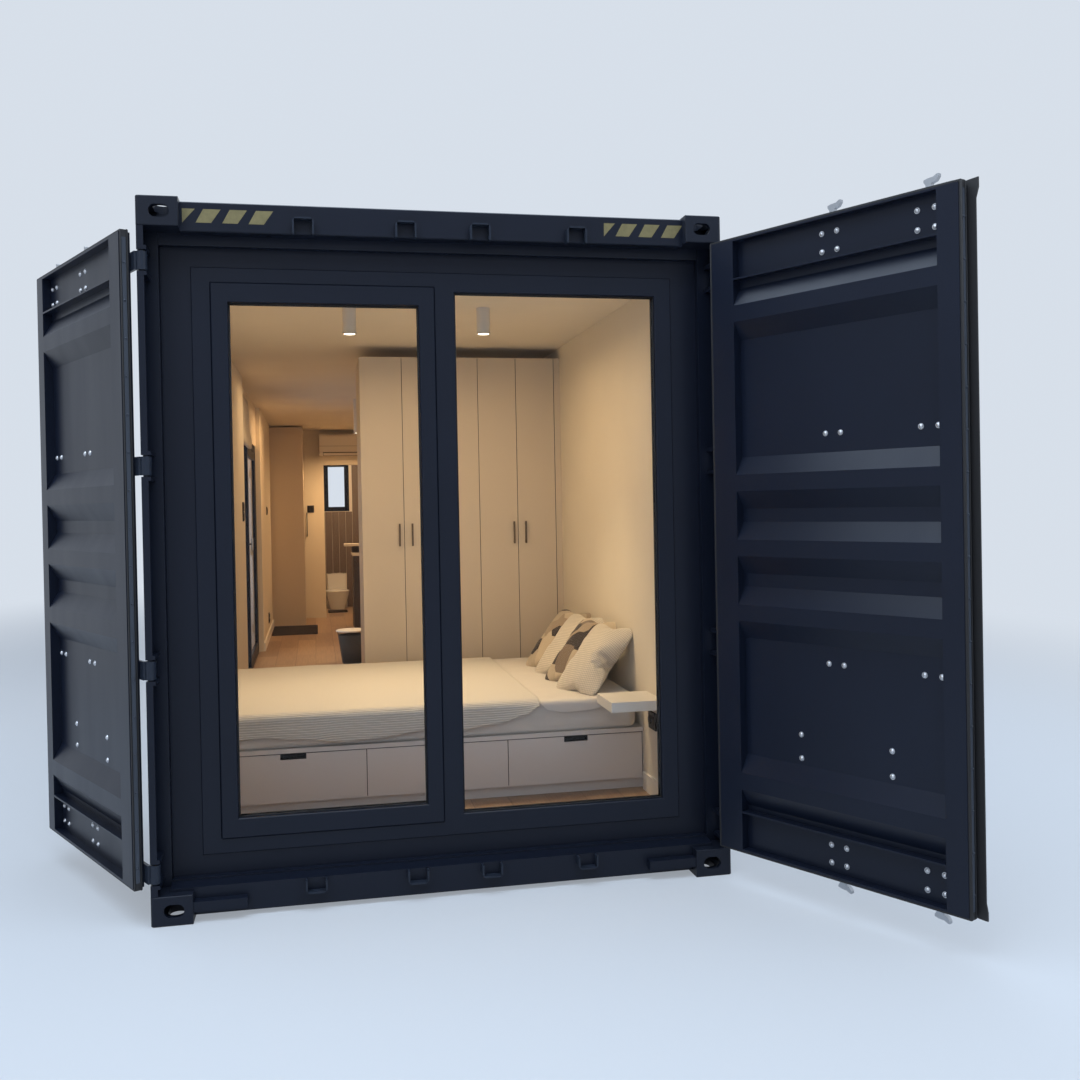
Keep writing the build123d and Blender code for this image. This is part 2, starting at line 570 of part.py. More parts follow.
for inset in WARDROBE_GRIPS:
    x = ROOM_X - inset
    wardrobe += block(x - 6, x + 6, WARDROBE_Y - 24, WARDROBE_Y - 14, BAR_LOW, BAR_LOW + BAR_TALL)
    for z in (BAR_LOW + 10, BAR_LOW + BAR_TALL - 20):
        wardrobe += block(x - 5, x + 5, WARDROBE_Y - 15, WARDROBE_Y + 1, z, z + 10)
save(wardrobe, "wardrobe")

# Bed: drawer base on a recessed plinth, with a top board, a finger slot in each drawer front and seams between.
BED_LONG = 1595.0
BED_Y1 = BED_Y0 + BED_LONG
BED_TOP = 480.0
BED_BOARD = 21.0
PLINTH_TOP = 219.0
PLINTH_IN = 22.0
DRAWER = 708.0
DRAWER_LAST = 7.0
SLOT_HALF = 62.0
FINGER = 27.0
bed = block(-ROOM_X + 1, ROOM_X - 1, BED_Y0, BED_Y1, PLINTH_TOP, BED_TOP)
bed += block(-ROOM_X + 1, ROOM_X - 1, BED_Y0 + PLINTH_IN, BED_Y1 - PLINTH_IN, FLOOR_Z, PLINTH_TOP + 1)
drawer_top = BED_TOP - BED_BOARD
bed -= block(
    -ROOM_X - CLEAR, ROOM_X + CLEAR, BED_Y0 - CLEAR, BED_Y0 + GROOVE_DEEP, drawer_top - GROOVE, drawer_top)
seam = ROOM_X - DRAWER_LAST
while seam - DRAWER > -ROOM_X + 50:
    bed -= block(
        seam - GROOVE / 2, seam + GROOVE / 2, BED_Y0 - CLEAR, BED_Y0 + GROOVE_DEEP, PLINTH_TOP - CLEAR, drawer_top)
    middle = seam - DRAWER / 2
    bed -= block(
        middle - SLOT_HALF, middle + SLOT_HALF, BED_Y0 - CLEAR, BED_Y0 + 40, drawer_top - GROOVE - FINGER, drawer_top - 1)
    seam -= DRAWER
bed -= block(
    seam - GROOVE / 2, seam + GROOVE / 2, BED_Y0 - CLEAR, BED_Y0 + GROOVE_DEEP, PLINTH_TOP - CLEAR, drawer_top)
save(bed, "bed_base")

# Mattress and the ribbed blanket that lies over its left part and hangs a little way down in front.
MATTRESS_TOP = 642.0
MATTRESS_X = ROOM_X - 25.0
MATTRESS_Y0 = BED_Y0 + 8.0
MATTRESS_Y1 = BED_Y1 - 12.0
SOFT_GAP = 0.3
mattress = block(-MATTRESS_X, MATTRESS_X, MATTRESS_Y0, MATTRESS_Y1, BED_TOP + SOFT_GAP, MATTRESS_TOP)
mattress = fillet(mattress.edges().filter_by(Axis.Z), 60)
save(mattress, "mattress")
BLANKET = 18.0
BLANKET_X1 = 550.0
BLANKET_DROP = 105.0
BLANKET_LOW = MATTRESS_TOP + SOFT_GAP
BLANKET_TOP = BLANKET_LOW + BLANKET
blanket = block(
    -MATTRESS_X - 5, BLANKET_X1, MATTRESS_Y0 - BLANKET, MATTRESS_Y1 + 5, BLANKET_LOW, BLANKET_TOP)
blanket += block(
    -MATTRESS_X - 5, BLANKET_X1 - 100, MATTRESS_Y0 - BLANKET, MATTRESS_Y0 - SOFT_GAP,
    BLANKET_LOW - BLANKET_DROP, BLANKET_TOP)
save(blanket, "blanket")

# Cushions leaning against the right wall in a row along the bed's head, each turned a little to the room.
CUSHION = 450.0
CUSHION_WIDE = 270.0
CUSHION_THICK = 104.0
CUSHION_LEAN = 40.0
CUSHION_TURN = 22.0
CUSHION_REACH = 222.0
CUSHION_Y = (1175.0, 1475.0, 1760.0, 2045.0)
cushions = []
for y in CUSHION_Y:
    shape = Box(CUSHION_THICK, CUSHION_WIDE, CUSHION)
    shape = fillet(shape.edges(), CUSHION_THICK * 0.42)
    shape = Rot(0, 0, CUSHION_TURN) * Rot(0, CUSHION_LEAN, 0) * shape
    seat_z = MATTRESS_TOP + SOFT_GAP - shape.bounding_box().min.Z
    cushions.append(Pos(ROOM_X - CUSHION_REACH, FRONT + y, seat_z) * shape)
save(cushions, "pillows")

# Bedside shelf fixed to the right wall in front of the bed's head.
SHELF_REACH = 262.0
SHELF_LOW = 632.0
SHELF_TALL = 48.0
save(block(
    ROOM_X - SHELF_REACH, ROOM_X - SOFT_GAP, BED_Y0 - 345, BED_Y0 - 65, SHELF_LOW, SHELF_LOW + SHELF_TALL), "bedside_shelf")

# Ceiling lamps: two short upright cylinders before the bed and a long one in the room behind.
LAMP_R = 36.0
LAMP_TALL = 137.0
LAMP_LONG = 330.0
save([
    rod(-350, FRONT + 1350, CEILING_Z - LAMP_TALL, CEILING_Z, LAMP_R),
    rod(360, FRONT + 1290, CEILING_Z - LAMP_TALL, CEILING_Z, LAMP_R),
    rod(-126, FRONT + 6200, CEILING_Z - LAMP_LONG, CEILING_Z, LAMP_R),
], "ceiling_lamps")

# Tall cabinet against the left wall, with a filler strip and a flap over its door.
CABINET_WIDE = 410.0
CABINET_DEEP = 600.0
CABINET_TOP = CEILING_Z - 21.0
CABINET_X1 = -ROOM_X + CABINET_WIDE
cabinet = block(-ROOM_X + SEAT, CABINET_X1, CABINET_Y, CABINET_Y + CABINET_DEEP, FLOOR_Z, CABINET_TOP)
cabinet -= block(
    -ROOM_X + 35, -ROOM_X + 35 + GROOVE, CABINET_Y - CLEAR, CABINET_Y + GROOVE_DEEP, FLOOR_Z + 60, CABINET_TOP - 10)
cabinet -= block(
    -ROOM_X + 35, CABINET_X1 - 10, CABINET_Y - CLEAR, CABINET_Y + GROOVE_DEEP,
    CABINET_TOP - 100, CABINET_TOP - 100 + GROOVE)
save(cabinet, "tall_cabinet")

# Air conditioner on the partition over the doorway.
COOLER_X0 = -479.0
COOLER_LONG = 809.0
COOLER_DEEP = 200.0
COOLER_TOP = CEILING_Z - 55.0
COOLER_TALL = 288.0
cooler_front = PARTITION_Y - COOLER_DEEP
cooler = block(
    COOLER_X0, COOLER_X0 + COOLER_LONG, cooler_front, PARTITION_Y - SOFT_GAP, COOLER_TOP - COOLER_TALL, COOLER_TOP)
cooler = fillet(front_edges(cooler, cooler_front).filter_by(Axis.X), 50)
save(cooler, "air_conditioner")

# Kitchen counter end: a dark carcass, a worktop and a raised breakfast bar on an upstand.
COUNTER_X0 = -112.0
COUNTER_Y = PARTITION_Y - 1600.0
COUNTER_DEEP = 600.0
COUNTER_TOP = 1090.0
WORKTOP = 28.0
BAR_TOP = 1200.0
BAR_OVER = 88.0
counter = block(
    COUNTER_X0 + 8, ROOM_X - SEAT, COUNTER_Y + 8, COUNTER_Y + COUNTER_DEEP, FLOOR_Z, COUNTER_TOP - WORKTOP)
counter += block(COUNTER_X0, ROOM_X - SEAT, COUNTER_Y, COUNTER_Y + COUNTER_DEEP, COUNTER_TOP - WORKTOP, COUNTER_TOP)
counter += block(
    COUNTER_X0 + 8, ROOM_X - SEAT, COUNTER_Y + 440, COUNTER_Y + COUNTER_DEEP - 60, COUNTER_TOP, BAR_TOP - WORKTOP)
counter += block(
    COUNTER_X0 - BAR_OVER, ROOM_X - SEAT, COUNTER_Y + 300, COUNTER_Y + COUNTER_DEEP, BAR_TOP - WORKTOP, BAR_TOP)
save(counter, "kitchen_counter")

# Roman blind over the side entrance's fixed light, drawn up into a soft fold.
BLIND_BACK = LINING_X - OVER_DOOR - SOFT_GAP
BLIND_TOP = CEILING_Z - 71.0
BLIND_LOW = DOOR_Z1 - 113.0
BLIND_FOLD = ROOM_X - 4.0
save(along_y([
    (-BLIND_BACK, BLIND_TOP), (-BLIND_BACK + 28, BLIND_TOP), (-BLIND_BACK + 22, BLIND_LOW + 150),
    (-BLIND_FOLD, BLIND_LOW + 95), (-BLIND_FOLD, BLIND_LOW + 30), (-BLIND_FOLD - 26, BLIND_LOW), (-BLIND_BACK, BLIND_LOW),
], DOOR_Y0 + 12, DOOR_MID - JAMB), "roman_blind")

# Small round side table: a white disc on a tapered basket.
TABLE_X = -228.0
TABLE_Y = FRONT + 6010.0
TABLE_LOW_R = 92.0
TABLE_HIGH_R = 135.0
TABLE_R = 148.0
TABLE_TOP = 485.0
TABLE_DISC = 15.0
basket = TABLE_TOP - TABLE_DISC - FLOOR_Z
table = Pos(TABLE_X, TABLE_Y, FLOOR_Z + basket / 2) * Cone(TABLE_LOW_R, TABLE_HIGH_R, basket)
table += rod(TABLE_X, TABLE_Y, TABLE_TOP - TABLE_DISC, TABLE_TOP, TABLE_R)
save(table, "side_table")

# Toilet against the back wall: a boxed-in cistern and a tapered pan in front of it.
TOILET_X = -250.0
TOILET_HALF = 133.0
CISTERN_TOP = 675.0
CISTERN_DEEP = 110.0
PAN_LOW_R = 110.0
PAN_HIGH_R = 175.0
PAN_TALL = 250.0
cistern_y = ROOM_END - SEAT - CISTERN_DEEP
toilet = block(
    TOILET_X - TOILET_HALF, TOILET_X + TOILET_HALF, cistern_y, ROOM_END - SEAT, FLOOR_Z, CISTERN_TOP)
pan = Pos(TOILET_X, cistern_y - PAN_HIGH_R + 20, FLOOR_Z + PAN_TALL / 2) * Cone(PAN_LOW_R, PAN_HIGH_R, PAN_TALL)
toilet += pan
toilet += block(
    TOILET_X - PAN_LOW_R, TOILET_X + PAN_LOW_R, cistern_y - PAN_HIGH_R, cistern_y + 5, FLOOR_Z, FLOOR_Z + PAN_TALL)
save(toilet, "toilet")

# Floor mats: one before the tall cabinet and a small one in the bathroom.
MAT = 6.0
save([
    block(-ROOM_X + 20, CABINET_X1 + 145, CABINET_Y - 1000, CABINET_Y - 40, FLOOR_Z, FLOOR_Z + MAT),
    block(TOILET_X - 145, TOILET_X + 130, PARTITION_Y + 650, PARTITION_Y + 950, FLOOR_Z, FLOOR_Z + 2 * MAT),
], "floor_mats")


# One cargo-door leaf in its closed place; sx is the side its hinges are on.
def leaf_box(sx, s0, s1, t0, t1, z0, z1):
    return block(sx * (PIN_X - s0), sx * (PIN_X - s1), PIN_Y + t0, PIN_Y + t1, z0, z1)


PANEL_S0 = LEAF_START + STILE_HINGE
PANEL_S1 = LEAF_END - STILE_FREE
RAIL_LOW_TOP = LEAF_LOW + RAIL_LOW_TALL
RAIL_HIGH_LOW = LEAF_HIGH - RAIL_HIGH_TALL
RIB_MID = (RIB_LOW + RIB_HIGH) / 2
RIB_Z = (RIB_LOW, RIB_MID - RIB_PITCH, RIB_MID, RIB_MID + RIB_PITCH, RIB_HIGH)


def door_leaf(sx):
    leaf = leaf_box(sx, LEAF_START, PANEL_S0, LEAF_OUT, LEAF_IN, LEAF_LOW, LEAF_HIGH)
    leaf += leaf_box(sx, PANEL_S1, LEAF_END, LEAF_OUT, LEAF_IN, LEAF_LOW, LEAF_HIGH)
    for z0, z1 in ((LEAF_LOW, RAIL_LOW_TOP), (RAIL_HIGH_LOW, LEAF_HIGH)):
        rail = leaf_box(sx, PANEL_S0, PANEL_S1, LEAF_OUT, LEAF_IN, z0, z1)
        rail -= leaf_box(
            sx, PANEL_S0, PANEL_S1, LEAF_OUT + 6, LEAF_IN + CLEAR, z0 + RAIL_PLATE, z1 - RAIL_PLATE)
        leaf += rail
    y_out = PIN_Y + LEAF_OUT
    side = [(y_out, RAIL_LOW_TOP)]
    for z in RIB_Z:
        half = RIB_FLAT / 2
        side += [
            (y_out, z - half - RIB_SLOPE), (y_out + RIB_DEPTH, z - half),
            (y_out + RIB_DEPTH, z + half), (y_out, z + half + RIB_SLOPE),
        ]
    side.append((y_out, RAIL_HIGH_LOW))
    outline = side + [(y + SHEET, z) for y, z in reversed(side)]
    ends = (sx * (PIN_X - PANEL_S0), sx * (PIN_X - PANEL_S1))
    return leaf + along_x(outline, min(ends), max(ends))


# Rubber round a leaf's edge; the right leaf also has a lip along its free edge that laps the left leaf.
SEAL_OUT = LEAF_OUT + 10.0
SEAL_IN = LEAF_IN - 3.0
LIP_OVER = 37.0
LIP_THICK = 6.0


def door_gasket(sx):
    ring = leaf_box(
        sx, LEAF_START - RUBBER, LEAF_END + RUBBER, SEAL_OUT, SEAL_IN, LEAF_LOW - RUBBER, LEAF_HIGH + RUBBER)
    ring -= leaf_box(sx, LEAF_START, LEAF_END, SEAL_OUT - CLEAR, SEAL_IN + CLEAR, LEAF_LOW, LEAF_HIGH)
    pieces = [ring]
    if sx > 0:
        z0 = LEAF_LOW - RUBBER
        z1 = LEAF_HIGH + RUBBER
        lip = leaf_box(sx, LEAF_END - 32, LEAF_END - 2, LEAF_OUT - LIP_THICK, LEAF_OUT, z0 + RUBBER, z1 - RUBBER)
        lip += leaf_box(
            sx, LEAF_END - 32, LEAF_END + LIP_OVER, LEAF_OUT - 2 * LIP_THICK, LEAF_OUT - LIP_THICK, z0, z1)
        pieces.append(lip)
    return pieces


# Hinge blades, rod brackets and handle cradles on a leaf.
BRACKET_HALF = 52.0
BRACKET_THICK = 6.0
BRACKETS = ((245.0, 110.0), (995.0, 44.0), (HEIGHT - 992.0, 44.0), (HEIGHT - 241.0, 110.0))
CRADLE_IN = 175.0
CRADLE_HALF = 15.0


def door_hardware(sx):
    pieces = []
    for z in HINGE_Z:
        blade = leaf_box(sx, 0, 190, LEAF_OUT - 12, LEAF_OUT, z - BLADE_HALF, z + BLADE_HALF)
        blade += rod(sx * PIN_X, PIN_Y, z - BLADE_HALF, z + BLADE_HALF, PIN_R + 9)
        blade -= rod(sx * PIN_X, PIN_Y, z - BLADE_HALF - 5, z + BLADE_HALF + 5, PIN_R + 0.6)
        pieces.append(blade)
    for s in ROD_S:
        for z, tall in BRACKETS:
            bracket = leaf_box(
                sx, s - BRACKET_HALF, s + BRACKET_HALF, LEAF_OUT - BRACKET_THICK, LEAF_OUT, z - tall / 2, z + tall / 2)
            bracket += leaf_box(sx, s - ROD_R - 10, s + ROD_R + 10, ROD_T - ROD_R - 8, LEAF_OUT, z - 20, z + 20)
            bracket -= rod(sx * (PIN_X - s), PIN_Y + ROD_T, z - tall, z + tall, ROD_R + 1)
            pieces.append(bracket)
        low = HANDLE_Z - HANDLE_TALL / 2 - CLEAR
        s0 = s - CRADLE_IN - CRADLE_HALF
        s1 = s - CRADLE_IN + CRADLE_HALF
        cradle = leaf_box(sx, s0, s1, LEAF_OUT - 8, LEAF_OUT, HANDLE_Z - 58, HANDLE_Z + 58)
        cradle += leaf_box(sx, s0, s1, ROD_T - 20, LEAF_OUT, low - 16, low - 8)
        cradle += leaf_box(sx, s0, s1, ROD_T - 20, ROD_T - 14, low - 16, low)
        pieces.append(cradle)
    return pieces


# Lock rod in its locked place: a hooked cam at each end and a handle that lies along the leaf to its cradle.
CAM_OUTLINE = (
    (-20.0, 0.0), (22.0, 0.0), (22.0, 6.0), (12.0, 14.0), (12.0, 30.0), (30.0, 36.0), (CAM_LONG, 50.0),
    (CAM_LONG, CAM_TALL), (33.0, CAM_TALL), (18.0, 52.0), (-6.0, 50.0), (-CAM_SHORT, 46.0),
    (-CAM_SHORT, 38.0), (-12.0, 26.0), (-12.0, 14.0), (-20.0, 6.0),
)


def lock_rod(sx, s):
    x = sx * (PIN_X - s)
    y = PIN_Y + ROD_T
    z_end = CAM_FOOT + 20
    bar = rod(x, y, LEAF_MID - z_end, z_end, 11.5)
    bar += rod(x, y, LEAF_MID - CAM_FOOT, CAM_FOOT, ROD_R)
    for upper in (True, False):
        points = [(x - sx * along, CAM_FOOT + up) for along, up in CAM_OUTLINE]
        if not upper:
            points = [(px, LEAF_MID - pz) for px, pz in points]
        bar += along_y(points, y - CAM_THICK / 2, y + CAM_THICK / 2)
    bar += rod(x, y, HANDLE_Z - 28, HANDLE_Z + 28, ROD_R + 3)
    bar += block(
        x, x + sx * HANDLE_LONG, y - HANDLE_THICK / 2, y + HANDLE_THICK / 2,
        HANDLE_Z - HANDLE_TALL / 2, HANDLE_Z + HANDLE_TALL / 2)
    return bar


def open_leaf(shape, sx):
    """Turn a closed piece about its hinge pin to the angle it stands at."""
    angle = RIGHT_OPEN if sx > 0 else -LEFT_OPEN
    centre = Pos(sx * PIN_X, PIN_Y, 0)
    turn = centre * Rot(0, 0, angle) * centre.inverse()
    if isinstance(shape, list):
        return [turn * item for item in shape]
    return turn * shape


for sx, side in ((-1, "left"), (1, "right")):
    save(open_leaf(door_leaf(sx), sx), f"{side}_door_leaf")
    save(open_leaf(door_gasket(sx), sx), f"{side}_door_gasket")
    save(open_leaf(door_hardware(sx), sx), f"{side}_door_hardware")
    save(open_leaf(lock_rod(sx, ROD_S[0]), sx), f"{side}_outer_lock_rod")
    save(open_leaf(lock_rod(sx, ROD_S[1]), sx), f"{side}_inner_lock_rod")
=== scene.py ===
import json
import math

import bmesh
import bpy
from mathutils import Matrix, Vector, noise


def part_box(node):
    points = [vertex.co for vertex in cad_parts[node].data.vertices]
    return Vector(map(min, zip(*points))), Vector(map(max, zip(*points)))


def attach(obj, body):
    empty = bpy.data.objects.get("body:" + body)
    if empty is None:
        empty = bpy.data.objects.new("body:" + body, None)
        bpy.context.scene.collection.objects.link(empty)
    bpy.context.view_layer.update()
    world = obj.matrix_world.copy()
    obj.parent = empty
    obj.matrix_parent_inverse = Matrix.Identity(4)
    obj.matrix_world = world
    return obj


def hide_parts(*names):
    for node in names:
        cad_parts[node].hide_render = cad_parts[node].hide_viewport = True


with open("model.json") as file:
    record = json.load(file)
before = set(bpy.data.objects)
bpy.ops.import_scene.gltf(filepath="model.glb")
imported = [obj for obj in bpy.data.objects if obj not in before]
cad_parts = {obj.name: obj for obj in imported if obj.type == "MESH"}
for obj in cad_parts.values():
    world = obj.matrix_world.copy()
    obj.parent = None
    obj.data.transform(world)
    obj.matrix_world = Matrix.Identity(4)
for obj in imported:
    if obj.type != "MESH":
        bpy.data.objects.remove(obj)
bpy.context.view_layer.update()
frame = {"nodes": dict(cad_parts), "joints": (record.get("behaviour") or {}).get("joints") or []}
nodes = frame["nodes"]
scene = bpy.context.scene
front_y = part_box("bottom_corner_castings")[0].y

# The camera stands on the ground in front of the open doors, a little left of the middle and at eye height.
# It looks along the container and turns slightly to the right, where the near leaf stands.
camera_place = Vector((-0.548649, -10.581155, 1.646155))
camera_yaw, camera_pitch, camera_roll = 0.2033587, 0.0098114, -0.0189143
level_ahead = Vector((math.sin(camera_yaw), math.cos(camera_yaw), 0))
level_right = Vector((math.cos(camera_yaw), -math.sin(camera_yaw), 0))
ahead = level_ahead * math.cos(camera_pitch) - Vector((0, 0, math.sin(camera_pitch)))
overhead = Vector((0, 0, math.cos(camera_pitch))) + level_ahead * math.sin(camera_pitch)
right = level_right * math.cos(camera_roll) + overhead * math.sin(camera_roll)
up = overhead * math.cos(camera_roll) - level_right * math.sin(camera_roll)
camera = bpy.data.objects.new("camera", bpy.data.cameras.new("camera"))
camera.data.lens = 36.0106
camera.data.shift_x = 0.001868
camera.data.shift_y = -0.022821
camera.data.clip_end = 300
camera.matrix_world = Matrix.Translation(camera_place) @ Matrix((right, up, -ahead)).transposed().to_4x4()
scene.collection.objects.link(camera)
scene.camera = camera
scene.view_settings.view_transform = "Standard"


# A plain pale studio: a wide matt floor that runs out into a pale backdrop of the same colour.
# A soft dome, a large panel overhead and three smaller lamps light it, a little cool overhead.
def feed(node, sockets):
    """Give sockets of a node their values, or link other nodes' outputs to them."""
    for socket, value in sockets.items():
        if isinstance(value, bpy.types.NodeSocket):
            node.id_data.links.new(value, node.inputs[socket])
        else:
            node.inputs[socket].default_value = value


def add_node(owner, kind, sockets=None, give=0, **options):
    """Add one shader node with its options and what feeds it, and hand back one of its outputs."""
    made = owner.node_tree.nodes.new("ShaderNode" + kind)
    for name, value in options.items():
        setattr(made, name, value)
    feed(made, sockets or {})
    return made.outputs[give]


def dress(material, sockets):
    """Feed a material's own shader, with plain values for what is even all over."""
    feed(material.node_tree.nodes["Principled BSDF"], sockets)
    return material


def new_material(name):
    """A material, with the coordinates that its textures lie on."""
    made = bpy.data.materials.new(name)
    made.use_nodes = True
    return made, add_node(made, "TexCoord").node.outputs


def seen_directly(owner):
    """One where the camera, a reflection or a clear pane looks, and nought for light on its way to a surface."""
    kind = add_node(owner, "LightPath").node.outputs
    either = add_node(owner, "Math", {0: kind["Is Camera Ray"], 1: kind["Is Glossy Ray"]}, operation="ADD")
    return add_node(owner, "Math", {0: either, 1: kind["Is Transmission Ray"]}, operation="ADD", use_clamp=True)


def place_mesh(mesh, name):
    """Put a finished mesh into the scene as an object of its own."""
    data = bpy.data.meshes.new(name)
    mesh.to_mesh(data)
    mesh.free()
    made = bpy.data.objects.new(name, data)
    scene.collection.objects.link(made)
    return made


backdrop_colour = (0.68, 0.74, 0.82, 1)
floor_radius = 120
floor_mesh = bmesh.new()
bmesh.ops.create_circle(floor_mesh, cap_ends=True, radius=floor_radius, segments=96)
studio_floor = place_mesh(floor_mesh, "studio_floor")
studio_floor.location.z = -0.001
pale_floor, floor_place = new_material("pale_studio_floor")
dress(pale_floor, {"Base Color": (0.60, 0.64, 0.69, 1), "Roughness": 0.9})
floor_oval = add_node(pale_floor, "Mapping", {"Vector": floor_place["Object"], "Scale": (1.7, 1, 1)})
floor_far = add_node(pale_floor, "VectorMath", {0: floor_oval}, give="Value", operation="LENGTH")
floor_fade = add_node(
    pale_floor, "MapRange", {"Value": floor_far, "From Min": 6, "From Max": 16, "To Min": 0.42},
    interpolation_type="SMOOTHSTEP")
floor_share = add_node(pale_floor, "Math", {0: floor_fade, 1: seen_directly(pale_floor)}, operation="MULTIPLY")
floor_glow = add_node(pale_floor, "Emission", {"Color": backdrop_colour, "Strength": 1})
floor_blend = add_node(pale_floor, "MixShader", {
    "Fac": floor_share, 1: pale_floor.node_tree.nodes["Principled BSDF"].outputs["BSDF"], 2: floor_glow})
feed(pale_floor.node_tree.nodes["Material Output"], {"Surface": floor_blend})
studio_floor.data.materials.append(pale_floor)

world = bpy.data.worlds.new("pale_dome")
world.use_nodes = True
scene.world = world
dome = world.node_tree.nodes["Background"]
dome_height = add_node(world, "SeparateXYZ", {0: add_node(world, "TexCoord", give="Generated")}, give="Z")
dome_tint = add_node(world, "ValToRGB", {0: dome_height})
dome_ramp = dome_tint.node.color_ramp
dome_ramp.elements[0].color = (0.50, 0.56, 0.66, 1)
dome_ramp.elements[1].position = 0.8
dome_ramp.elements[1].color = (0.70, 0.82, 1.00, 1)
feed(dome, {"Color": dome_tint, "Strength": 0.42})
dome_backdrop = add_node(world, "Background", {"Color": backdrop_colour})
dome_choice = add_node(world, "MixShader", {
    "Fac": seen_directly(world), 1: dome.outputs["Background"], 2: dome_backdrop})
feed(world.node_tree.nodes["World Output"], {"Surface": dome_choice})


def add_lamp(name, kind, place, power, tint, size=None):
    lamp = bpy.data.objects.new(name, bpy.data.lights.new(name, kind))
    lamp.data.energy = power
    lamp.data.color = tint
    lamp.location = place
    if size:
        lamp.data.size = size
        lamp.visible_camera = False
        lamp.visible_transmission = False
    scene.collection.objects.link(lamp)
    return lamp


for lamp_name, place, aim, power, size, tint in (
    ("overhead_panel", (-0.4, -7.0, 8.0), (-0.4, -6.9, 1.0), 1050, 10, (0.72, 0.85, 1)),
    ("key_lamp", (-9, -17, 10), (0, -5, 1.4), 260, 6, (1, 0.98, 0.95)),
    ("fill_lamp", (12, -13, 7), (1, -5, 1.4), 150, 7, (0.88, 0.94, 1)),
    ("rear_lamp", (7, 15, 10), (0, 3, 1.4), 420, 8, (0.95, 0.97, 1)),
):
    lamp = add_lamp(lamp_name, "AREA", place, power, tint, size)
    lamp.rotation_euler = (Vector(aim) - Vector(place)).to_track_quat("-Z", "Y").to_euler()


# The container's steel: corrugated walls and roof, posts, rails and beams, all welded and sprayed one dark paint.
# The paint is a satin navy that is nearly black, a little uneven and dusty low down.
def opaque(colour, factor=1.0, lift=0.0):
    return (*[min(1, channel * factor + lift) for channel in colour], 1)


def scaled(material, colour, factor):
    return add_node(material, "VectorMath", {0: colour, "Scale": factor}, operation="SCALE")


def mottled(material, place, scale, detail, dark, light):
    """A tone that drifts between two colours in soft clouds."""
    clouds = add_node(material, "TexNoise", {"Vector": place["Object"], "Scale": scale, "Detail": detail})
    return add_node(material, "MixRGB", {"Fac": clouds, "Color1": dark, "Color2": light})


def fine_bump(material, place, scale, strength, distance, detail=2):
    """A shallow skin of fine grain."""
    skin = add_node(material, "TexNoise", {"Vector": place, "Scale": scale, "Detail": detail})
    return add_node(material, "Bump", {"Height": skin, "Strength": strength, "Distance": distance})


def satin_paint(name, colour, roughness, worn=0.25, grain=0.35):
    paint, place = new_material(name)
    tint = mottled(paint, place, 1.7, 7, opaque(colour, 0.82), opaque(colour, 1.2, 0.004 * worn))
    streaks = add_node(paint, "Mapping", {"Vector": place["Object"], "Scale": (4, 4, 0.6)})
    drips = add_node(paint, "TexNoise", {"Vector": streaks, "Scale": 2.2, "Detail": 2})
    gloss = add_node(paint, "MapRange", {
        "Value": drips, "From Min": 0.2, "From Max": 0.8,
        "To Min": roughness - 0.03, "To Max": roughness + 0.05 * (0.5 + worn)})
    peel = fine_bump(paint, place["Object"], 260, grain, 0.0004)
    return dress(paint, {"Base Color": tint, "Roughness": gloss, "Normal": peel, "Specular IOR Level": 0.22})


def coat(node_names, material):
    for node_name in node_names:
        for material_slot in nodes[node_name].material_slots:
            material_slot.material = material


container_paint = satin_paint("container_paint", (0.0062, 0.0092, 0.0190), 0.36)
coat((
    "corner_posts", "door_header", "door_sill", "back_end_frame", "side_rails", "side_walls", "roof_panel",
    "back_end_wall"), container_paint)

# Corner castings: hollow steel blocks welded to the posts, painted with the rest over a coarse cast skin.
# Their rounded corners and slot edges are as cast.
casting_paint = satin_paint("casting_paint", (0.0070, 0.0100, 0.0195), 0.45, worn=0.8, grain=0.9)
coat(("bottom_corner_castings", "top_front_corner_castings", "top_back_corner_castings"), casting_paint)

# Floor frame: steel cross members and a deck under the room, in dull undercoating.
# It shows only from below the side rails.
coat(("floor_frame",), satin_paint("undercoating", (0.016, 0.016, 0.018), 0.72, worn=1.0, grain=0.9))

# Cam keepers: small steel blocks welded to the header and sill, their edges rubbed by the cams.
# The leaves' hinge blades, rod brackets and handle cradles have the same worn paint.
worn_steel = satin_paint("worn_painted_steel", (0.017, 0.023, 0.037), 0.34, worn=1.0)
coat(("cam_keepers", "left_door_hardware", "right_door_hardware"), worn_steel)


# Warning stripes: khaki slanted bars sprayed on both ends of the header, which mark a tall container.
# Each end starts with a half bar beside the casting, then three whole ones.
def finish_piece(mesh, name, material, smooth=None, body="cabin"):
    """Turn a finished mesh into a piece of the part, in its own place, on its body and with its finish."""
    bmesh.ops.recalc_face_normals(mesh, faces=mesh.faces)
    piece = place_mesh(mesh, name)
    data = piece.data
    data.materials.append(material)
    if smooth is not None:
        for face in data.polygons:
            face.use_smooth = True
        data.set_sharp_from_angle(angle=math.radians(smooth))
    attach(piece, body)
    return piece


def verts_among(parts):
    return [part for part in parts if isinstance(part, bmesh.types.BMVert)]


def add_plate(mesh, corners, push):
    """One closed plate: a face with these corners, and a second one pulled off it along a vector."""
    face = mesh.faces.new([mesh.verts.new(corner) for corner in corners])
    sides = bmesh.ops.extrude_face_region(mesh, geom=[face])["geom"]
    bmesh.ops.translate(mesh, verts=verts_among(sides), vec=push)


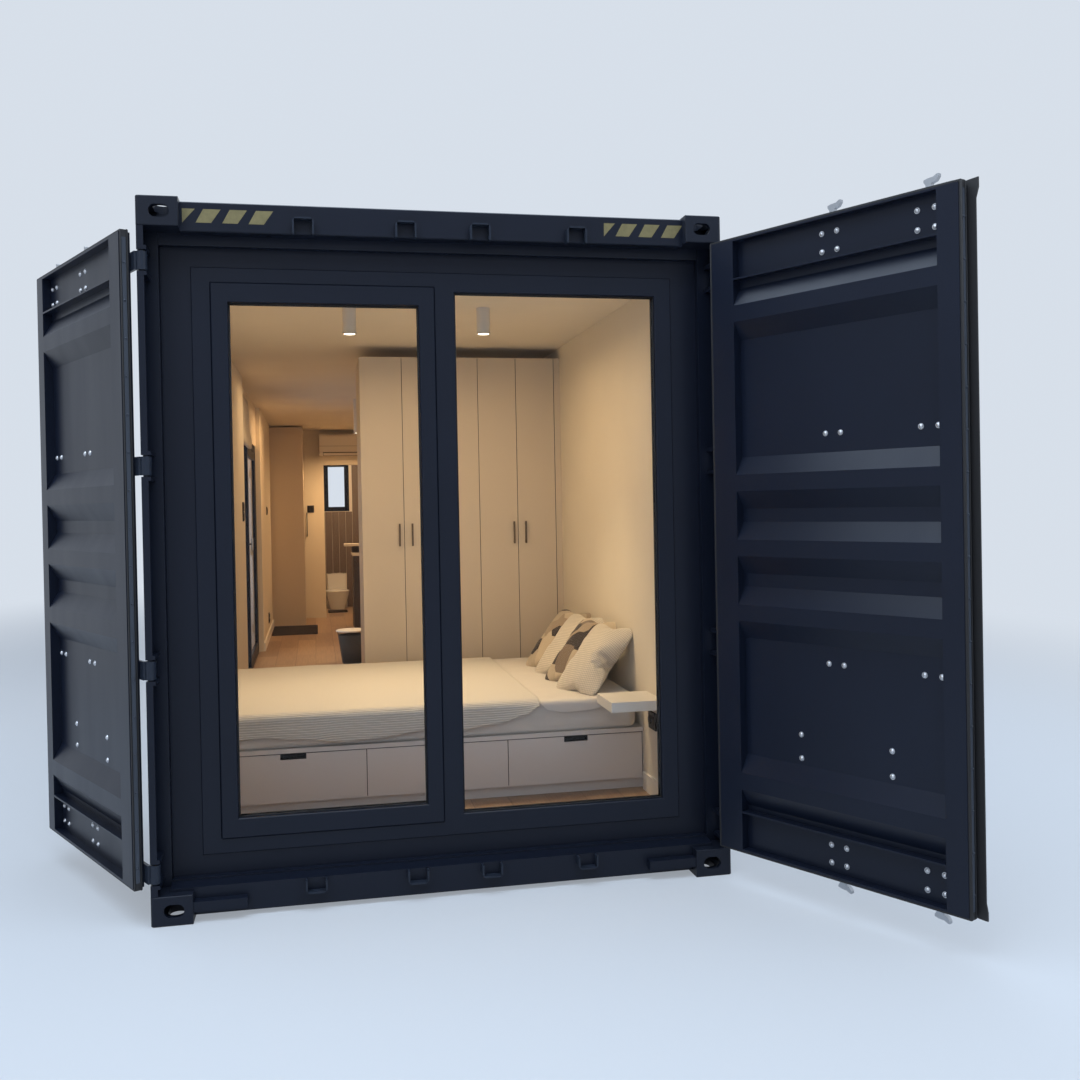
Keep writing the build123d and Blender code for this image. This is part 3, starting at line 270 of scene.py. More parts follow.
stripe_paint, stripe_place = new_material("faded_yellow_paint")
stripe_tint = mottled(stripe_paint, stripe_place, 55, 6, (0.14, 0.115, 0.050, 1), (0.26, 0.215, 0.088, 1))
dress(stripe_paint, {"Base Color": stripe_tint, "Roughness": 0.5})
header_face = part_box("door_header")[0].y
stripe_film, stripe_lift, stripe_step = 0.0003, 0.0004, 0.103
half_bar = [(0, 2.861), (0.050, 2.861), (0, 2.804)]
whole_bar = [(0.082, 2.861), (0.150, 2.861), (0.112, 2.806), (0.052, 2.806)]
bars = bmesh.new()
for first_x in (-1.047, 0.702):
    outlines = [half_bar] + [[(x + step * stripe_step, z) for x, z in whole_bar] for step in range(3)]
    for outline in outlines:
        add_plate(bars, [(first_x + x, header_face - stripe_lift, z) for x, z in outline], (0, stripe_film, 0))
finish_piece(bars, "header_stripes", stripe_paint)

# Cargo door leaves: a welded steel frame round a pressed sheet, painted inside and out like the container.
# The sheet is flat at the outer face and has five ribs pressed inwards.
coat(("left_door_leaf", "right_door_leaf"), satin_paint("door_paint", (0.0068, 0.0105, 0.0225), 0.34))


# Door bolts: round-headed zinc bolts that hold the rod brackets and the handle cradles through the leaf.
# Four at each end bracket of a rod, two at each middle one, and two at each cradle.
def add_drum(mesh, centre, low_radius, high_radius, tall, segments, turn=Matrix.Identity(4), ends=True):
    """One round block, or only its side where it has no ends."""
    return bmesh.ops.create_cone(
        mesh, cap_ends=ends, segments=segments, radius1=low_radius, radius2=high_radius, depth=tall,
        matrix=Matrix.Translation(centre) @ turn)["verts"]


def add_ball(mesh, centre, radius, segments, rings, squash=(1, 1, 1)):
    made = bmesh.ops.create_uvsphere(mesh, u_segments=segments, v_segments=rings, radius=radius)["verts"]
    bmesh.ops.scale(mesh, verts=made, vec=squash)
    bmesh.ops.translate(mesh, verts=made, vec=centre)


def leaf_place(side):
    """Places on a leaf: distance from the pin line along it, distance inwards from the pin line, and height."""
    pin = next(joint["pos_m"] for joint in frame["joints"] if joint["name"] == side + "_cargo_door_hinge")
    opened, mirror = {"left": (math.radians(242), 1), "right": (math.radians(118), -1)}[side]
    along = Vector((mirror * math.cos(opened), -math.sin(opened), 0))
    inward = Vector((mirror * math.sin(opened), math.cos(opened), 0))
    return Matrix.Translation((pin[0], pin[1], 0)) @ Matrix((along, inward, (0, 0, 1))).transposed().to_4x4()


zinc, zinc_place = new_material("bright_zinc")
spangle = add_node(zinc, "TexVoronoi", {"Vector": zinc_place["Object"], "Scale": 240})
spangle_gloss = add_node(zinc, "MapRange", {"Value": spangle, "To Min": 0.2, "To Max": 0.42})
dress(zinc, {"Base Color": (0.56, 0.58, 0.62, 1), "Metallic": 1, "Roughness": spangle_gloss})

across_to_y = Matrix.Rotation(math.radians(-90), 4, "X")
sheet_inner, rail_inner = 0.033, 0.036
bolt_spots = []
for column in (0.583, 0.653, 1.000, 1.070):
    bolt_spots += [(column, z, rail_inner) for z in (2.698, 2.626, 0.269, 0.198)]
    bolt_spots += [(column, z, sheet_inner) for z in (1.908, 0.991)]
for column in (0.443, 0.860):
    bolt_spots += [(column, z, sheet_inner) for z in (0.687, 0.590)]
for side in ("left", "right"):
    bolts = bmesh.new()
    for along, height, inner in bolt_spots:
        washer_centre = (along, inner + 0.001, height)
        add_drum(bolts, washer_centre, 0.0120, 0.0112, 0.002, 16, across_to_y)
        add_ball(bolts, washer_centre, 0.0090, 14, 8, squash=(1, 0.7, 1))
    bolts.transform(leaf_place(side))
    finish_piece(bolts, side + "_door_bolts", zinc, smooth=50, body=side + "_cargo_door")


# Door seals: black rubber profiles clamped round each leaf by a riveted steel strip on its edge faces.
# The rubber turns outward in two ridges, and the right leaf's covering lip stands up at its free corners.
def round_edges(mesh, edges, radius, segments):
    bmesh.ops.bevel(
        mesh, geom=edges, offset=radius, affect="EDGES", segments=segments, profile=0.5, material=-1)


def add_block(mesh, low, high, round_off=0.0, segments=2):
    """One closed box between two corners, with its edges rounded where a radius is given."""
    made = bmesh.ops.create_cube(mesh, size=1)["verts"]
    low, high = Vector(low), Vector(high)
    bmesh.ops.scale(mesh, verts=made, vec=high - low)
    bmesh.ops.translate(mesh, verts=made, vec=(low + high) / 2)
    if round_off:
        round_edges(mesh, list({edge for vert in made for edge in vert.link_edges}), round_off, segments)


rubber, rubber_place = new_material("black_rubber")
dress(rubber, {
    "Base Color": (0.012, 0.012, 0.014, 1), "Roughness": 0.62,
    "Normal": fine_bump(rubber, rubber_place["Object"], 400, 0.2, 0.0003)})
coat(("left_door_gasket", "right_door_gasket"), rubber)
strip_steel = satin_paint("strip_steel", (0.055, 0.064, 0.082), 0.36, worn=1.0)

seal_s0, seal_s1 = 0.035, 1.190
seal_z0, seal_z1 = 0.144, 2.764
strip_thick, rivet_step = 0.0025, 0.15
flap_inner, flap_thick = 0.0175, 0.007
top_flap = [(1.218, 2.695), (1.229, 2.735), (1.229, 2.7705), (1.200, 2.768), (1.110, 2.758), (1.110, 2.752)]
low_flap = [(1.218, 0.206), (1.225, 0.170), (1.225, 0.1395), (1.200, 0.141), (1.150, 0.147), (1.150, 0.154)]
for side in ("left", "right"):
    strips = bmesh.new()
    lips = bmesh.new()
    for face_s, out in ((seal_s0, -1), (seal_s1, 1)):
        near, far = sorted((face_s, face_s + out * strip_thick))
        add_block(strips, (near, 0.050, seal_z0 + 0.03), (far, 0.066, seal_z1 - 0.03))
        rivet_z = seal_z0 + 0.09
        while rivet_z < seal_z1 - 0.06:
            add_ball(strips, (face_s + out * 0.003, 0.058, rivet_z), 0.0048, 8, 5)
            rivet_z += rivet_step
        near, far = sorted((face_s - out * 0.001, face_s + out * 0.004))
        add_block(lips, (near, 0.040, seal_z0 + 0.002), (far, 0.0455, seal_z1 - 0.002), 0.0015)
        add_block(lips, (near, 0.0685, seal_z0 + 0.002), (far, 0.0725, seal_z1 - 0.002), 0.0012)
    for face_z, out in ((seal_z0, -1), (seal_z1, 1)):
        near, far = sorted((face_z, face_z + out * strip_thick))
        add_block(strips, (seal_s0 + 0.03, 0.050, near), (seal_s1 - 0.03, 0.066, far))
        near, far = sorted((face_z - out * 0.001, face_z + out * 0.003))
        add_block(lips, (seal_s0 + 0.002, 0.040, near), (seal_s1 - 0.002, 0.0455, far), 0.0012)
    if side == "right":
        for outline in (top_flap, low_flap):
            add_plate(lips, [(s, flap_inner, z) for s, z in outline], (0, flap_thick, 0))
    for mesh in (strips, lips):
        mesh.transform(leaf_place(side))
    finish_piece(strips, side + "_seal_strips", strip_steel, smooth=40, body=side + "_cargo_door")
    finish_piece(lips, side + "_seal_lips", rubber, smooth=40, body=side + "_cargo_door")


# Lock rods: steel bars in brackets on the leaves' outer faces, with forged cams at both ends and a handle.
# The bars and handles are painted with the doors, and the cams are rubbed bare to their bright zinc.
def recolour(material, share, colour):
    """Blend a finish's colour towards another one where share rises to one."""
    first = material.node_tree.nodes["Principled BSDF"].inputs["Base Color"].links[0].from_socket
    dress(material, {"Base Color": add_node(
        material, "MixRGB", {"Fac": share, "Color1": first, "Color2": opaque(colour)})})


rod_middle, bare_from, bare_full = 1.454, 1.300, 1.312
rod_finish = satin_paint("painted_rods_bare_cams", (0.010, 0.014, 0.025), 0.34, worn=0.8)
rod_height = add_node(rod_finish, "SeparateXYZ", {0: add_node(rod_finish, "TexCoord", give="Object")}, give="Z")
rod_from_middle = add_node(rod_finish, "Math", {0: rod_height, 1: rod_middle}, operation="SUBTRACT")
rod_reach = add_node(rod_finish, "Math", {0: rod_from_middle}, operation="ABSOLUTE")
rod_bare = add_node(rod_finish, "MapRange", {"Value": rod_reach, "From Min": bare_from, "From Max": bare_full})
recolour(rod_finish, rod_bare, (0.40, 0.42, 0.45))
dress(rod_finish, {"Metallic": rod_bare})
coat(("left_outer_lock_rod", "left_inner_lock_rod", "right_outer_lock_rod", "right_inner_lock_rod"), rod_finish)

# Front infill wall: flat steel sheet on a frame that closes the doorway round the glazing, coated dark.
# It is folded back into the post recesses on both sides.
coat(("front_infill_wall",), satin_paint("infill_coating", (0.0062, 0.0088, 0.0180), 0.40, worn=0.1, grain=0.5))

# Window profiles: thermally broken metal profiles, powder coated in fine-textured anthracite.
# The side entrance has the same profiles in its frame and its leaf.
coat(("window_frames", "window_sash", "side_door_frame", "side_door_leaf"), satin_paint(
    "powder_coating", (0.0072, 0.0102, 0.0200), 0.38, worn=0.0, grain=0.6))

# Glass: clear sealed panes, smooth and colourless, so the room shows through them.
# A black rubber bead holds each pane in its profile, on both faces.
clear_glass = new_material("clear_glass")[0]
dress(clear_glass, {"Base Color": (1, 1, 1, 1), "Roughness": 0.0, "IOR": 1.15, "Transmission Weight": 1})
coat(("window_glass", "side_door_glass"), clear_glass)
bead = 0.005
beads = bmesh.new()
for x0, x1, z0, z1 in ((-0.884, -0.099, 0.370, 2.506), (0.057, 0.954, 0.318, 2.567)):
    for y0, y1 in ((0.1605, 0.1655), (0.1905, 0.1955)):
        low_y, high_y = front_y + y0, front_y + y1
        add_block(beads, (x0, low_y, z0), (x0 + bead, high_y, z1), 0.0015)
        add_block(beads, (x1 - bead, low_y, z0), (x1, high_y, z1), 0.0015)
        add_block(beads, (x0 + bead, low_y, z0), (x1 - bead, high_y, z0 + bead), 0.0015)
        add_block(beads, (x0 + bead, low_y, z1 - bead), (x1 - bead, high_y, z1), 0.0015)
finish_piece(beads, "glazing_beads", rubber, smooth=40)

# Side entrance grips: a short upright bar of satin steel on each face of the hinged leaf.
# Each is sleeved over a bracket near the leaf's free edge.
satin_steel, steel_place = new_material("satin_steel")
steel_stretch = add_node(satin_steel, "Mapping", {"Vector": steel_place["Object"], "Scale": (600, 600, 12)})
steel_brushed = add_node(satin_steel, "TexNoise", {"Vector": steel_stretch})
steel_gloss = add_node(satin_steel, "MapRange", {"Value": steel_brushed, "To Min": 0.22, "To Max": 0.46})
dress(satin_steel, {"Base Color": (0.70, 0.69, 0.66, 1), "Metallic": 1, "Roughness": steel_gloss})
grip_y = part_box("side_door_leaf")[0].y + 0.038
side_out, side_thick, grip_out, grip_half = -1.209, 0.055, 0.028, 0.0095
grips = bmesh.new()
for grip_x in (side_out - grip_out, side_out + side_thick + grip_out):
    add_block(
        grips, (grip_x - grip_half, grip_y - grip_half, 1.272), (grip_x + grip_half, grip_y + grip_half, 1.388),
        0.006, 3)
finish_piece(grips, "side_door_grips", satin_steel, smooth=40, body="side_door")


# Room linings: smooth boards on the walls and ceiling, rolled with warm white paint.
# The bathroom partition and its track cover have the same finish.
def matt_board(name, colour, roughness, grain_scale, grain, mottle=0.05):
    board, place = new_material(name)
    tint = mottled(board, place, 2.5, 6, opaque(colour, 1 - mottle), opaque(colour, 1 + mottle))
    skin = fine_bump(board, place["Object"], grain_scale, grain, 0.0006, detail=3)
    return dress(board, {"Base Color": tint, "Normal": skin, "Roughness": roughness})


def repaint_where(material, limits, colour):
    """Give a finish a second colour inside limits on the part's own axes, such as painted shade inside a groove."""
    axes = add_node(material, "SeparateXYZ", {0: add_node(material, "TexCoord", give="Object")}).node.outputs
    inside = None
    for axis, side, limit in limits:
        kind = "GREATER_THAN" if side == ">" else "LESS_THAN"
        test = add_node(material, "Math", {0: axes[axis], 1: limit}, operation=kind)
        if inside is not None:
            test = add_node(material, "Math", {0: inside, 1: test}, operation="MULTIPLY")
        inside = test
    recolour(material, inside, colour)


wall_paint = matt_board("warm_white_wall_paint", (0.78, 0.715, 0.60), 0.7, 180, 0.25)
coat(("room_linings", "bathroom_partition"), wall_paint)

# Laminate floor: light oak planks laid along the room, each with its own tone and grain.
# They are clicked together over the deck and have a fine dark joint between them.
planks, planks_place = new_material("oak_planks")
planks_turn = add_node(planks, "Mapping", {"Vector": planks_place["Object"], "Rotation": (0, 0, math.radians(90))})
boards = add_node(planks, "TexBrick", {
    "Vector": planks_turn, "Scale": 1, "Brick Width": 1.28, "Row Height": 0.19,
    "Mortar Size": 0.0016, "Color1": (0.25, 0.155, 0.095, 1), "Color2": (0.43, 0.29, 0.18, 1),
    "Mortar": (0.10, 0.06, 0.04, 1)})
fibres_stretch = add_node(planks, "Mapping", {"Vector": planks_place["Object"], "Scale": (60, 2.2, 1)})
fibres = add_node(planks, "TexNoise", {"Vector": fibres_stretch, "Scale": 1.4, "Detail": 9})
fibres_tone = add_node(planks, "MapRange", {"Value": fibres, "To Min": 0.62, "To Max": 1.25})
dress(planks, {"Base Color": scaled(planks, boards, fibres_tone), "Roughness": 0.36})
coat(("laminate_floor",), planks)


# Skirting boards and wardrobe: white lacquered mouldings, and off-white lacquered doors with slim dark bars.
# The tall cabinet further in matches the wardrobe.
def lacquer(name, colour, roughness):
    return matt_board(name, colour, roughness, 90, 0.06, mottle=0.02)


white_lacquer = lacquer("white_lacquer", (0.80, 0.78, 0.74), 0.42)
cabinet_lacquer = lacquer("off_white_lacquer", (0.62, 0.53, 0.42), 0.40)
wardrobe_lacquer = lacquer("wardrobe_lacquer", (0.64, 0.555, 0.44), 0.40)
bar_back, gap_front, gap_back = front_y + 2.6995, front_y + 2.7015, front_y + 2.72
repaint_where(wardrobe_lacquer, ((1, "<", bar_back),), (0.12, 0.085, 0.055))
# Painted shade: the insides of the gaps between the doors are painted dark.
repaint_where(wardrobe_lacquer, ((1, ">", gap_front), (1, "<", gap_back)), (0.06, 0.045, 0.035))
coat(("skirting_boards",), white_lacquer)
coat(("wardrobe",), wardrobe_lacquer)
coat(("tall_cabinet",), cabinet_lacquer)

# Bed base and shelf: white lacquered boards, the drawers with finger slots under the top board, their recesses
# painted near black as painted shade.
# The base stands on a recessed plinth, and the shelf is screwed to the wall beside the bed's head.
bed_lacquer = lacquer("bed_lacquer", (0.72, 0.68, 0.66), 0.42)
slot_front, slot_back, drawers_low, drawers_high = front_y + 0.9075, front_y + 0.96, 0.222, 0.4588
# Painted shade: the faces set back behind the drawer fronts within these limits, in the finger slots, are painted
# near black.
repaint_where(
    bed_lacquer, ((1, ">", slot_front), (1, "<", slot_back), (2, ">", drawers_low), (2, "<", drawers_high)),
    (0.012, 0.010, 0.010))
coat(("bed_base",), bed_lacquer)
coat(("bedside_shelf",), white_lacquer)


# Mattress: a foam core in a white fitted sheet, with rounded corners, a low crown and soft creases on its sides.
# It lies on the bed's top board and fills it from wall to wall.
def woven_cloth(name, colour, thread, depth, mottle=0.06, shade=0.12, sheen=0.25):
    """Cloth with a fine thread in both directions, a little uneven in tone, with painted shade that darkens the
    hollows between the threads.
    """
    cloth, place = new_material(name)
    tint = mottled(cloth, place, 9, 5, opaque(colour, 1 - mottle), opaque(colour, 1 + mottle))
    across, along = (
        add_node(cloth, "TexWave", {"Vector": place["UV"], "Scale": thread}, give="Fac", bands_direction=direction)
        for direction in "XY")
    weave = add_node(cloth, "Math", {0: across, 1: along}, operation="ADD")
    # Painted shade: the colour is darkened where the weave lies low, in the hollows between the threads.
    painted_hollow_shade = add_node(cloth, "MapRange", {"Value": weave, "From Max": 1.6, "To Min": 1 - shade})
    bump = add_node(cloth, "Bump", {"Height": weave, "Strength": 0.6, "Distance": depth})
    return dress(cloth, {
        "Base Color": scaled(cloth, tint, painted_hollow_shade), "Normal": bump, "Roughness": 0.9, "Sheen Weight": sheen})


def map_cloth(mesh, metres_u, metres_v):
    """Lay the cloth's own measure on every face: metres along it and across it, as the thread runs."""
    layer = mesh.loops.layers.uv.verify()
    for face in mesh.faces:
        for loop in face.loops:
            loop[layer].uv = (metres_u(loop.vert.co), metres_v(loop.vert.co))


def rise(edge):
    return abs(edge.verts[0].co.z - edge.verts[1].co.z)


def wander(x, y, z):
    """Smooth unevenness between minus one and one that is the same in every run."""
    return noise.noise(Vector((x, y, z)))


sheet_cotton = woven_cloth("white_cotton", (0.74, 0.70, 0.66), 160, 0.0004)
mattress_low, mattress_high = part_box("mattress")
mattress_size = mattress_high - mattress_low
mattress = bmesh.new()
add_block(mattress, mattress_low, mattress_high)
round_edges(mattress, [edge for edge in mattress.edges if rise(edge) > 0.05], 0.06, 5)
mattress_rims = [
    edge for edge in mattress.edges if rise(edge) < 0.001 and len(edge.link_faces) == 2
    and abs(edge.link_faces[0].normal.z - edge.link_faces[1].normal.z) > 0.5]
round_edges(mattress, mattress_rims, 0.03, 4)
for axis, count in enumerate((54, 40, 8)):
    across_cut = Matrix.Identity(3)[axis]
    for step in range(1, count):
        cut = across_cut * (mattress_low[axis] + mattress_size[axis] * step / count)
        bmesh.ops.bisect_plane(
            mattress, geom=mattress.verts[:] + mattress.edges[:] + mattress.faces[:], plane_co=cut,
            plane_no=across_cut)
middle = (mattress_low + mattress_high) / 2
crown_drop, side_tuck, tuck_change, crease_depth = 0.006, 0.008, 0.010, 0.008
for vert in mattress.verts:
    x, y, z = vert.co
    u = (x - middle.x) / (mattress_size.x / 2)
    v = (y - middle.y) / (mattress_size.y / 2)
    w = (z - mattress_low.z) / mattress_size.z
    inset = max(0, 1 - max(abs(u), abs(v)) ** 8)
    z -= crown_drop * (1 - inset) * w
    vert.co.z = z
    side_pull = side_tuck + tuck_change * wander(x * 2.3, z * 9, x * 1.1 + 7)
    crease = crease_depth * math.sin(x * 17 + 46 * w * wander(x * 1.7, 3.1, 0.4))
    if v < -0.98:
        vert.co.y += (side_pull + crease * (1 - w)) * math.sin(math.pi * w)
map_cloth(mattress, lambda co: co.x, lambda co: co.y + co.z)
mattress_piece = finish_piece(mattress, "mattress_cover", sheet_cotton, smooth=60)
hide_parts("mattress")


# Bed sheet: thin white cotton that lies over the mattress beside the blanket and hangs a little way down in front.
# Its front edge is rounded at the corner, as in the photograph.
def lay_over_edge(mesh, x0, x1, back, edge_y, top, hem_points, rows_top, rows_side, columns, ripple, bend=0.026):
    """A cloth that lies flat on a bed and turns down over its front edge, with a hem of varying height."""
    rows = rows_top + rows_side
    bmesh.ops.create_grid(mesh, x_segments=columns, y_segments=rows, size=0.5)
    arc = math.pi / 2 * bend
    for vert in mesh.verts:
        x = x0 + (vert.co.x + 0.5) * (x1 - x0)
        step = (0.5 - vert.co.y) * rows
        if step <= rows_top:
            y = back + (edge_y + bend - back) * step / rows_top
            vert.co = Vector((x, y, top + ripple(x, y, 0)))
            continue
        down = (step - rows_top) / rows_side
        run = down * (arc + (top - bend - smooth_between(hem_points, x)))
        if run < arc:
            y = edge_y + bend - bend * math.sin(run / bend)
            z = top - bend + bend * math.cos(run / bend)
        else:
            y = edge_y
            z = top - bend - (run - arc)
        vert.co = Vector((x, y - abs(ripple(x, 0, down)), z))
    map_cloth(mesh, lambda co: co.x, lambda co: co.y + co.z)


def smooth_between(points, x):
    """Height of a hem at x, eased between the places where it was measured."""
    if x <= points[0][0]:
        return points[0][1]
    for (x0, z0), (x1, z1) in zip(points, points[1:]):
        if x <= x1:
            share = (x - x0) / (x1 - x0)
            return z0 + (z1 - z0) * share * share * (3 - 2 * share)
    return points[-1][1]


def give_thickness(piece, thick, name="cloth_thickness"):
    wall = piece.modifiers.new(name, "SOLIDIFY")
    wall.thickness = thick
    wall.offset = 0


def sheet_ripple(x, y, down):
    return 0.0016 * wander(x * 6, y * 5, 2) + 0.0016 + 0.003 * down * wander(x * 9, 5.5, down)


sheet_hem = (
    (0.47, 0.640), (0.55, 0.632), (0.60, 0.592), (0.68, 0.576), (0.80, 0.580), (0.90, 0.594), (1.068, 0.612))
bed_sheet = bmesh.new()
lay_over_edge(
    bed_sheet, sheet_hem[0][0], sheet_hem[-1][0], mattress_high.y - 0.02, mattress_low.y - 0.004,
    mattress_high.z + 0.0015, sheet_hem, 60, 12, 44, sheet_ripple)
bed_sheet_piece = finish_piece(bed_sheet, "bed_sheet", sheet_cotton, smooth=70)
give_thickness(bed_sheet_piece, 0.0022)

# Blanket: a thick ribbed cotton bedspread over the rest of the bed, its front hanging down in slack folds.
# The ribs run across the bed, about 12 mm apart, with painted shade in the troughs between them.
ribbed, ribbed_place = new_material("ribbed_cotton")
rib_wave = add_node(
    ribbed, "TexWave", {"Vector": ribbed_place["UV"], "Scale": 26, "Distortion": 0.25, "Detail Scale": 3},
    give="Fac", bands_direction="Y")
stitch_wave = add_node(
    ribbed, "TexWave", {"Vector": ribbed_place["UV"], "Scale": 52}, give="Fac", bands_direction="X")
stitch_share = add_node(ribbed, "Math", {0: stitch_wave, 1: 0.35, 2: rib_wave}, operation="MULTIPLY_ADD")
ribbed_bump = add_node(ribbed, "Bump", {"Height": stitch_share, "Strength": 0.7, "Distance": 0.0022})
# Painted shade: the colour darkens in the troughs between the ribs, following the same wave as the bump.
rib_trough_shade = add_node(ribbed, "MixRGB", {
    "Fac": rib_wave, "Color1": (0.54, 0.51, 0.47, 1), "Color2": (0.76, 0.73, 0.68, 1)})
dress(ribbed, {"Normal": ribbed_bump, "Base Color": rib_trough_shade, "Roughness": 0.92, "Sheen Weight": 0.3})

blanket_low, blanket_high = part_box("blanket")
blanket_hem = (
    (-1.080, 0.548), (-0.935, 0.536), (-0.818, 0.543), (-0.643, 0.523), (-0.452, 0.503), (-0.267, 0.509),
    (-0.020, 0.534), (0.136, 0.521), (0.344, 0.545), (0.470, 0.580), (0.550, 0.622),
)


def blanket_ripple(x, y, down):
    if down:
        swing = wander(x * 2.6, 1.3, down * 0.8)
        return 0.002 + 0.009 * down * (0.5 + swing) + 0.003 * down * math.sin(x * 13 + 2 * swing)
    return 0.004 * wander(x * 1.8, y * 1.6, 0.7) + 0.002 * wander(x * 6, y * 4, 3)


blanket = bmesh.new()
lay_over_edge(
    blanket, blanket_low.x, blanket_high.x, blanket_high.y - 0.01, mattress_low.y - 0.0125, blanket_high.z - 0.0065,
    blanket_hem, 110, 26, 120, blanket_ripple, bend=0.034)
blanket_piece = finish_piece(blanket, "ribbed_blanket", ribbed, smooth=70)
give_thickness(blanket_piece, 0.0075)
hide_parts("blanket")


# Cushions: two plain ribbed ones and two in a patchwork print, each sewn from two pieces of cotton and filled.
# They lean against the wall in a row along the bed's head, a little turned towards the room.
def patchwork_cloth(name, shift):
    cloth, place = new_material(name)
    move = add_node(cloth, "Mapping", {"Vector": place["UV"], "Location": (shift, shift * 0.6, 0)})
    patches = add_node(
        cloth, "TexVoronoi", {"Vector": move, "Scale": 11}, give="Color", voronoi_dimensions="2D",
        distance="CHEBYCHEV")
    shades = add_node(cloth, "ValToRGB", {"Fac": add_node(cloth, "SeparateColor", {0: patches})})
    ramp = shades.node.color_ramp
    ramp.interpolation = "CONSTANT"
    ramp.elements[0].color = (0.52, 0.44, 0.33, 1)
    ramp.elements[1].position = 0.30
    ramp.elements[1].color = (0.33, 0.26, 0.19, 1)
    for share, shade in ((0.50, (0.44, 0.37, 0.28)), (0.62, (0.17, 0.125, 0.09)), (0.76, (0.028, 0.019, 0.017))):
        ramp.elements.new(share).color = (*shade, 1)
    return dress(cloth, {
        "Base Color": shades, "Normal": fine_bump(cloth, place["UV"], 420, 0.5, 0.0005), "Roughness": 0.9,
        "Sheen Weight": 0.2})


cushion_wide, cushion_tall, cushion_thick = 0.360, 0.460, 0.165
seam_wide, seam_tall = cushion_wide * 1.04, cushion_tall * 1.03
filling_frames = 21


def sewn_cushion(name, material):
    """Two pieces of cloth sewn round their edge and blown up by their filling, in the cushion's own place."""
    shell = bmesh.new()
    bmesh.ops.create_grid(shell, x_segments=26, y_segments=42, size=0.5)
    bmesh.ops.scale(shell, verts=shell.verts, vec=(seam_wide, seam_tall, 1))
    for vert in shell.verts:
        across = vert.co.x / (seam_wide / 2)
        length = vert.co.y / (seam_tall / 2)
        corner = (across * length) ** 4
        vert.co.x *= (1 - 0.03 * (1 - length ** 2)) * (1 - 0.16 * corner)
        vert.co.y *= (1 - 0.03 * (1 - across ** 2)) * (1 - 0.13 * corner)
    copy = bmesh.ops.duplicate(shell, geom=shell.verts[:] + shell.edges[:] + shell.faces[:])["geom"]
    back_faces = [part for part in copy if isinstance(part, bmesh.types.BMFace)]
    bmesh.ops.reverse_faces(shell, faces=back_faces)
    bmesh.ops.translate(shell, verts=verts_among(copy), vec=(0, 0, -0.012))
    bmesh.ops.bridge_loops(shell, edges=[edge for edge in shell.edges if edge.is_boundary])
    map_cloth(shell, lambda co: co.x, lambda co: co.y)
    bmesh.ops.recalc_face_normals(shell, faces=shell.faces)
    piece = place_mesh(shell, name)
    filling = piece.modifiers.new("filling", "CLOTH")
    for setting, value in {
        "quality": 5, "mass": 0.15, "use_pressure": True, "uniform_pressure_force": 5, "tension_stiffness": 12,
        "compression_stiffness": 12, "bending_stiffness": 0.25,
    }.items():
        setattr(filling.settings, setting, value)
    filling.settings.effector_weights.gravity = 0
    filling.collision_settings.use_self_collision = False
    for frame_number in range(1, filling_frames + 1):
        scene.frame_set(frame_number)
    blown = bpy.data.meshes.new_from_object(piece.evaluated_get(bpy.context.evaluated_depsgraph_get()))
    piece.modifiers.remove(filling)
    piece.data = blown
    scene.frame_set(1)
    wanted = (cushion_wide / 2, cushion_tall / 2, cushion_thick / 2)
    reach = [max(abs(vert.co[axis]) for vert in piece.data.vertices) for axis in range(3)]
    for vert in piece.data.vertices:
        vert.co = Vector([vert.co[axis] * wanted[axis] / reach[axis] for axis in range(3)])
    piece.data.materials.clear()
    piece.data.materials.append(material)
    return piece


def soften(piece, name):
    rounded = piece.modifiers.new(name, "SUBSURF")
    rounded.levels = 1
    rounded.render_levels = 1


cushion_x, cushion_lean, cushion_turn = 0.918, math.radians(42), math.radians(23)
cushion_sink = 0.012
bed_top = mattress_high.z + 0.003
room_wall = 1.100
stand_up = Matrix(((0, 0, 1, 0), (1, 0, 0, 0), (0, 1, 0, 0), (0, 0, 0, 1)))
cushion_pose = Matrix.Rotation(cushion_turn, 4, "Z") @ Matrix.Rotation(cushion_lean, 4, "Y") @ stand_up
# The waffle cotton has deep painted shade in the hollows of its weave, which draws its grid.
waffle = woven_cloth("waffle_cotton", (0.70, 0.64, 0.55), 30, 0.0022, shade=0.42)
for number, (along_wall, cloth) in enumerate((
    (1.175, waffle), (1.475, patchwork_cloth("patchwork_print_a", 0.31)),
    (1.760, waffle), (2.045, patchwork_cloth("patchwork_print_b", 1.77)),
)):
    cushion = sewn_cushion("cushion_%d" % number, cloth)
    cushion.data.transform(cushion_pose)
    lowest = min(vert.co.z for vert in cushion.data.vertices)
    cushion.data.transform(Matrix.Translation((cushion_x, front_y + along_wall, bed_top - cushion_sink - lowest)))
    for vert in cushion.data.vertices:
        vert.co.z = max(vert.co.z, bed_top)
        vert.co.x = min(vert.co.x, room_wall - 0.002)
    for face in cushion.data.polygons:
        face.use_smooth = True
    soften(cushion, "fullness")
    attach(cushion, "cabin")
    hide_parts("pillows")

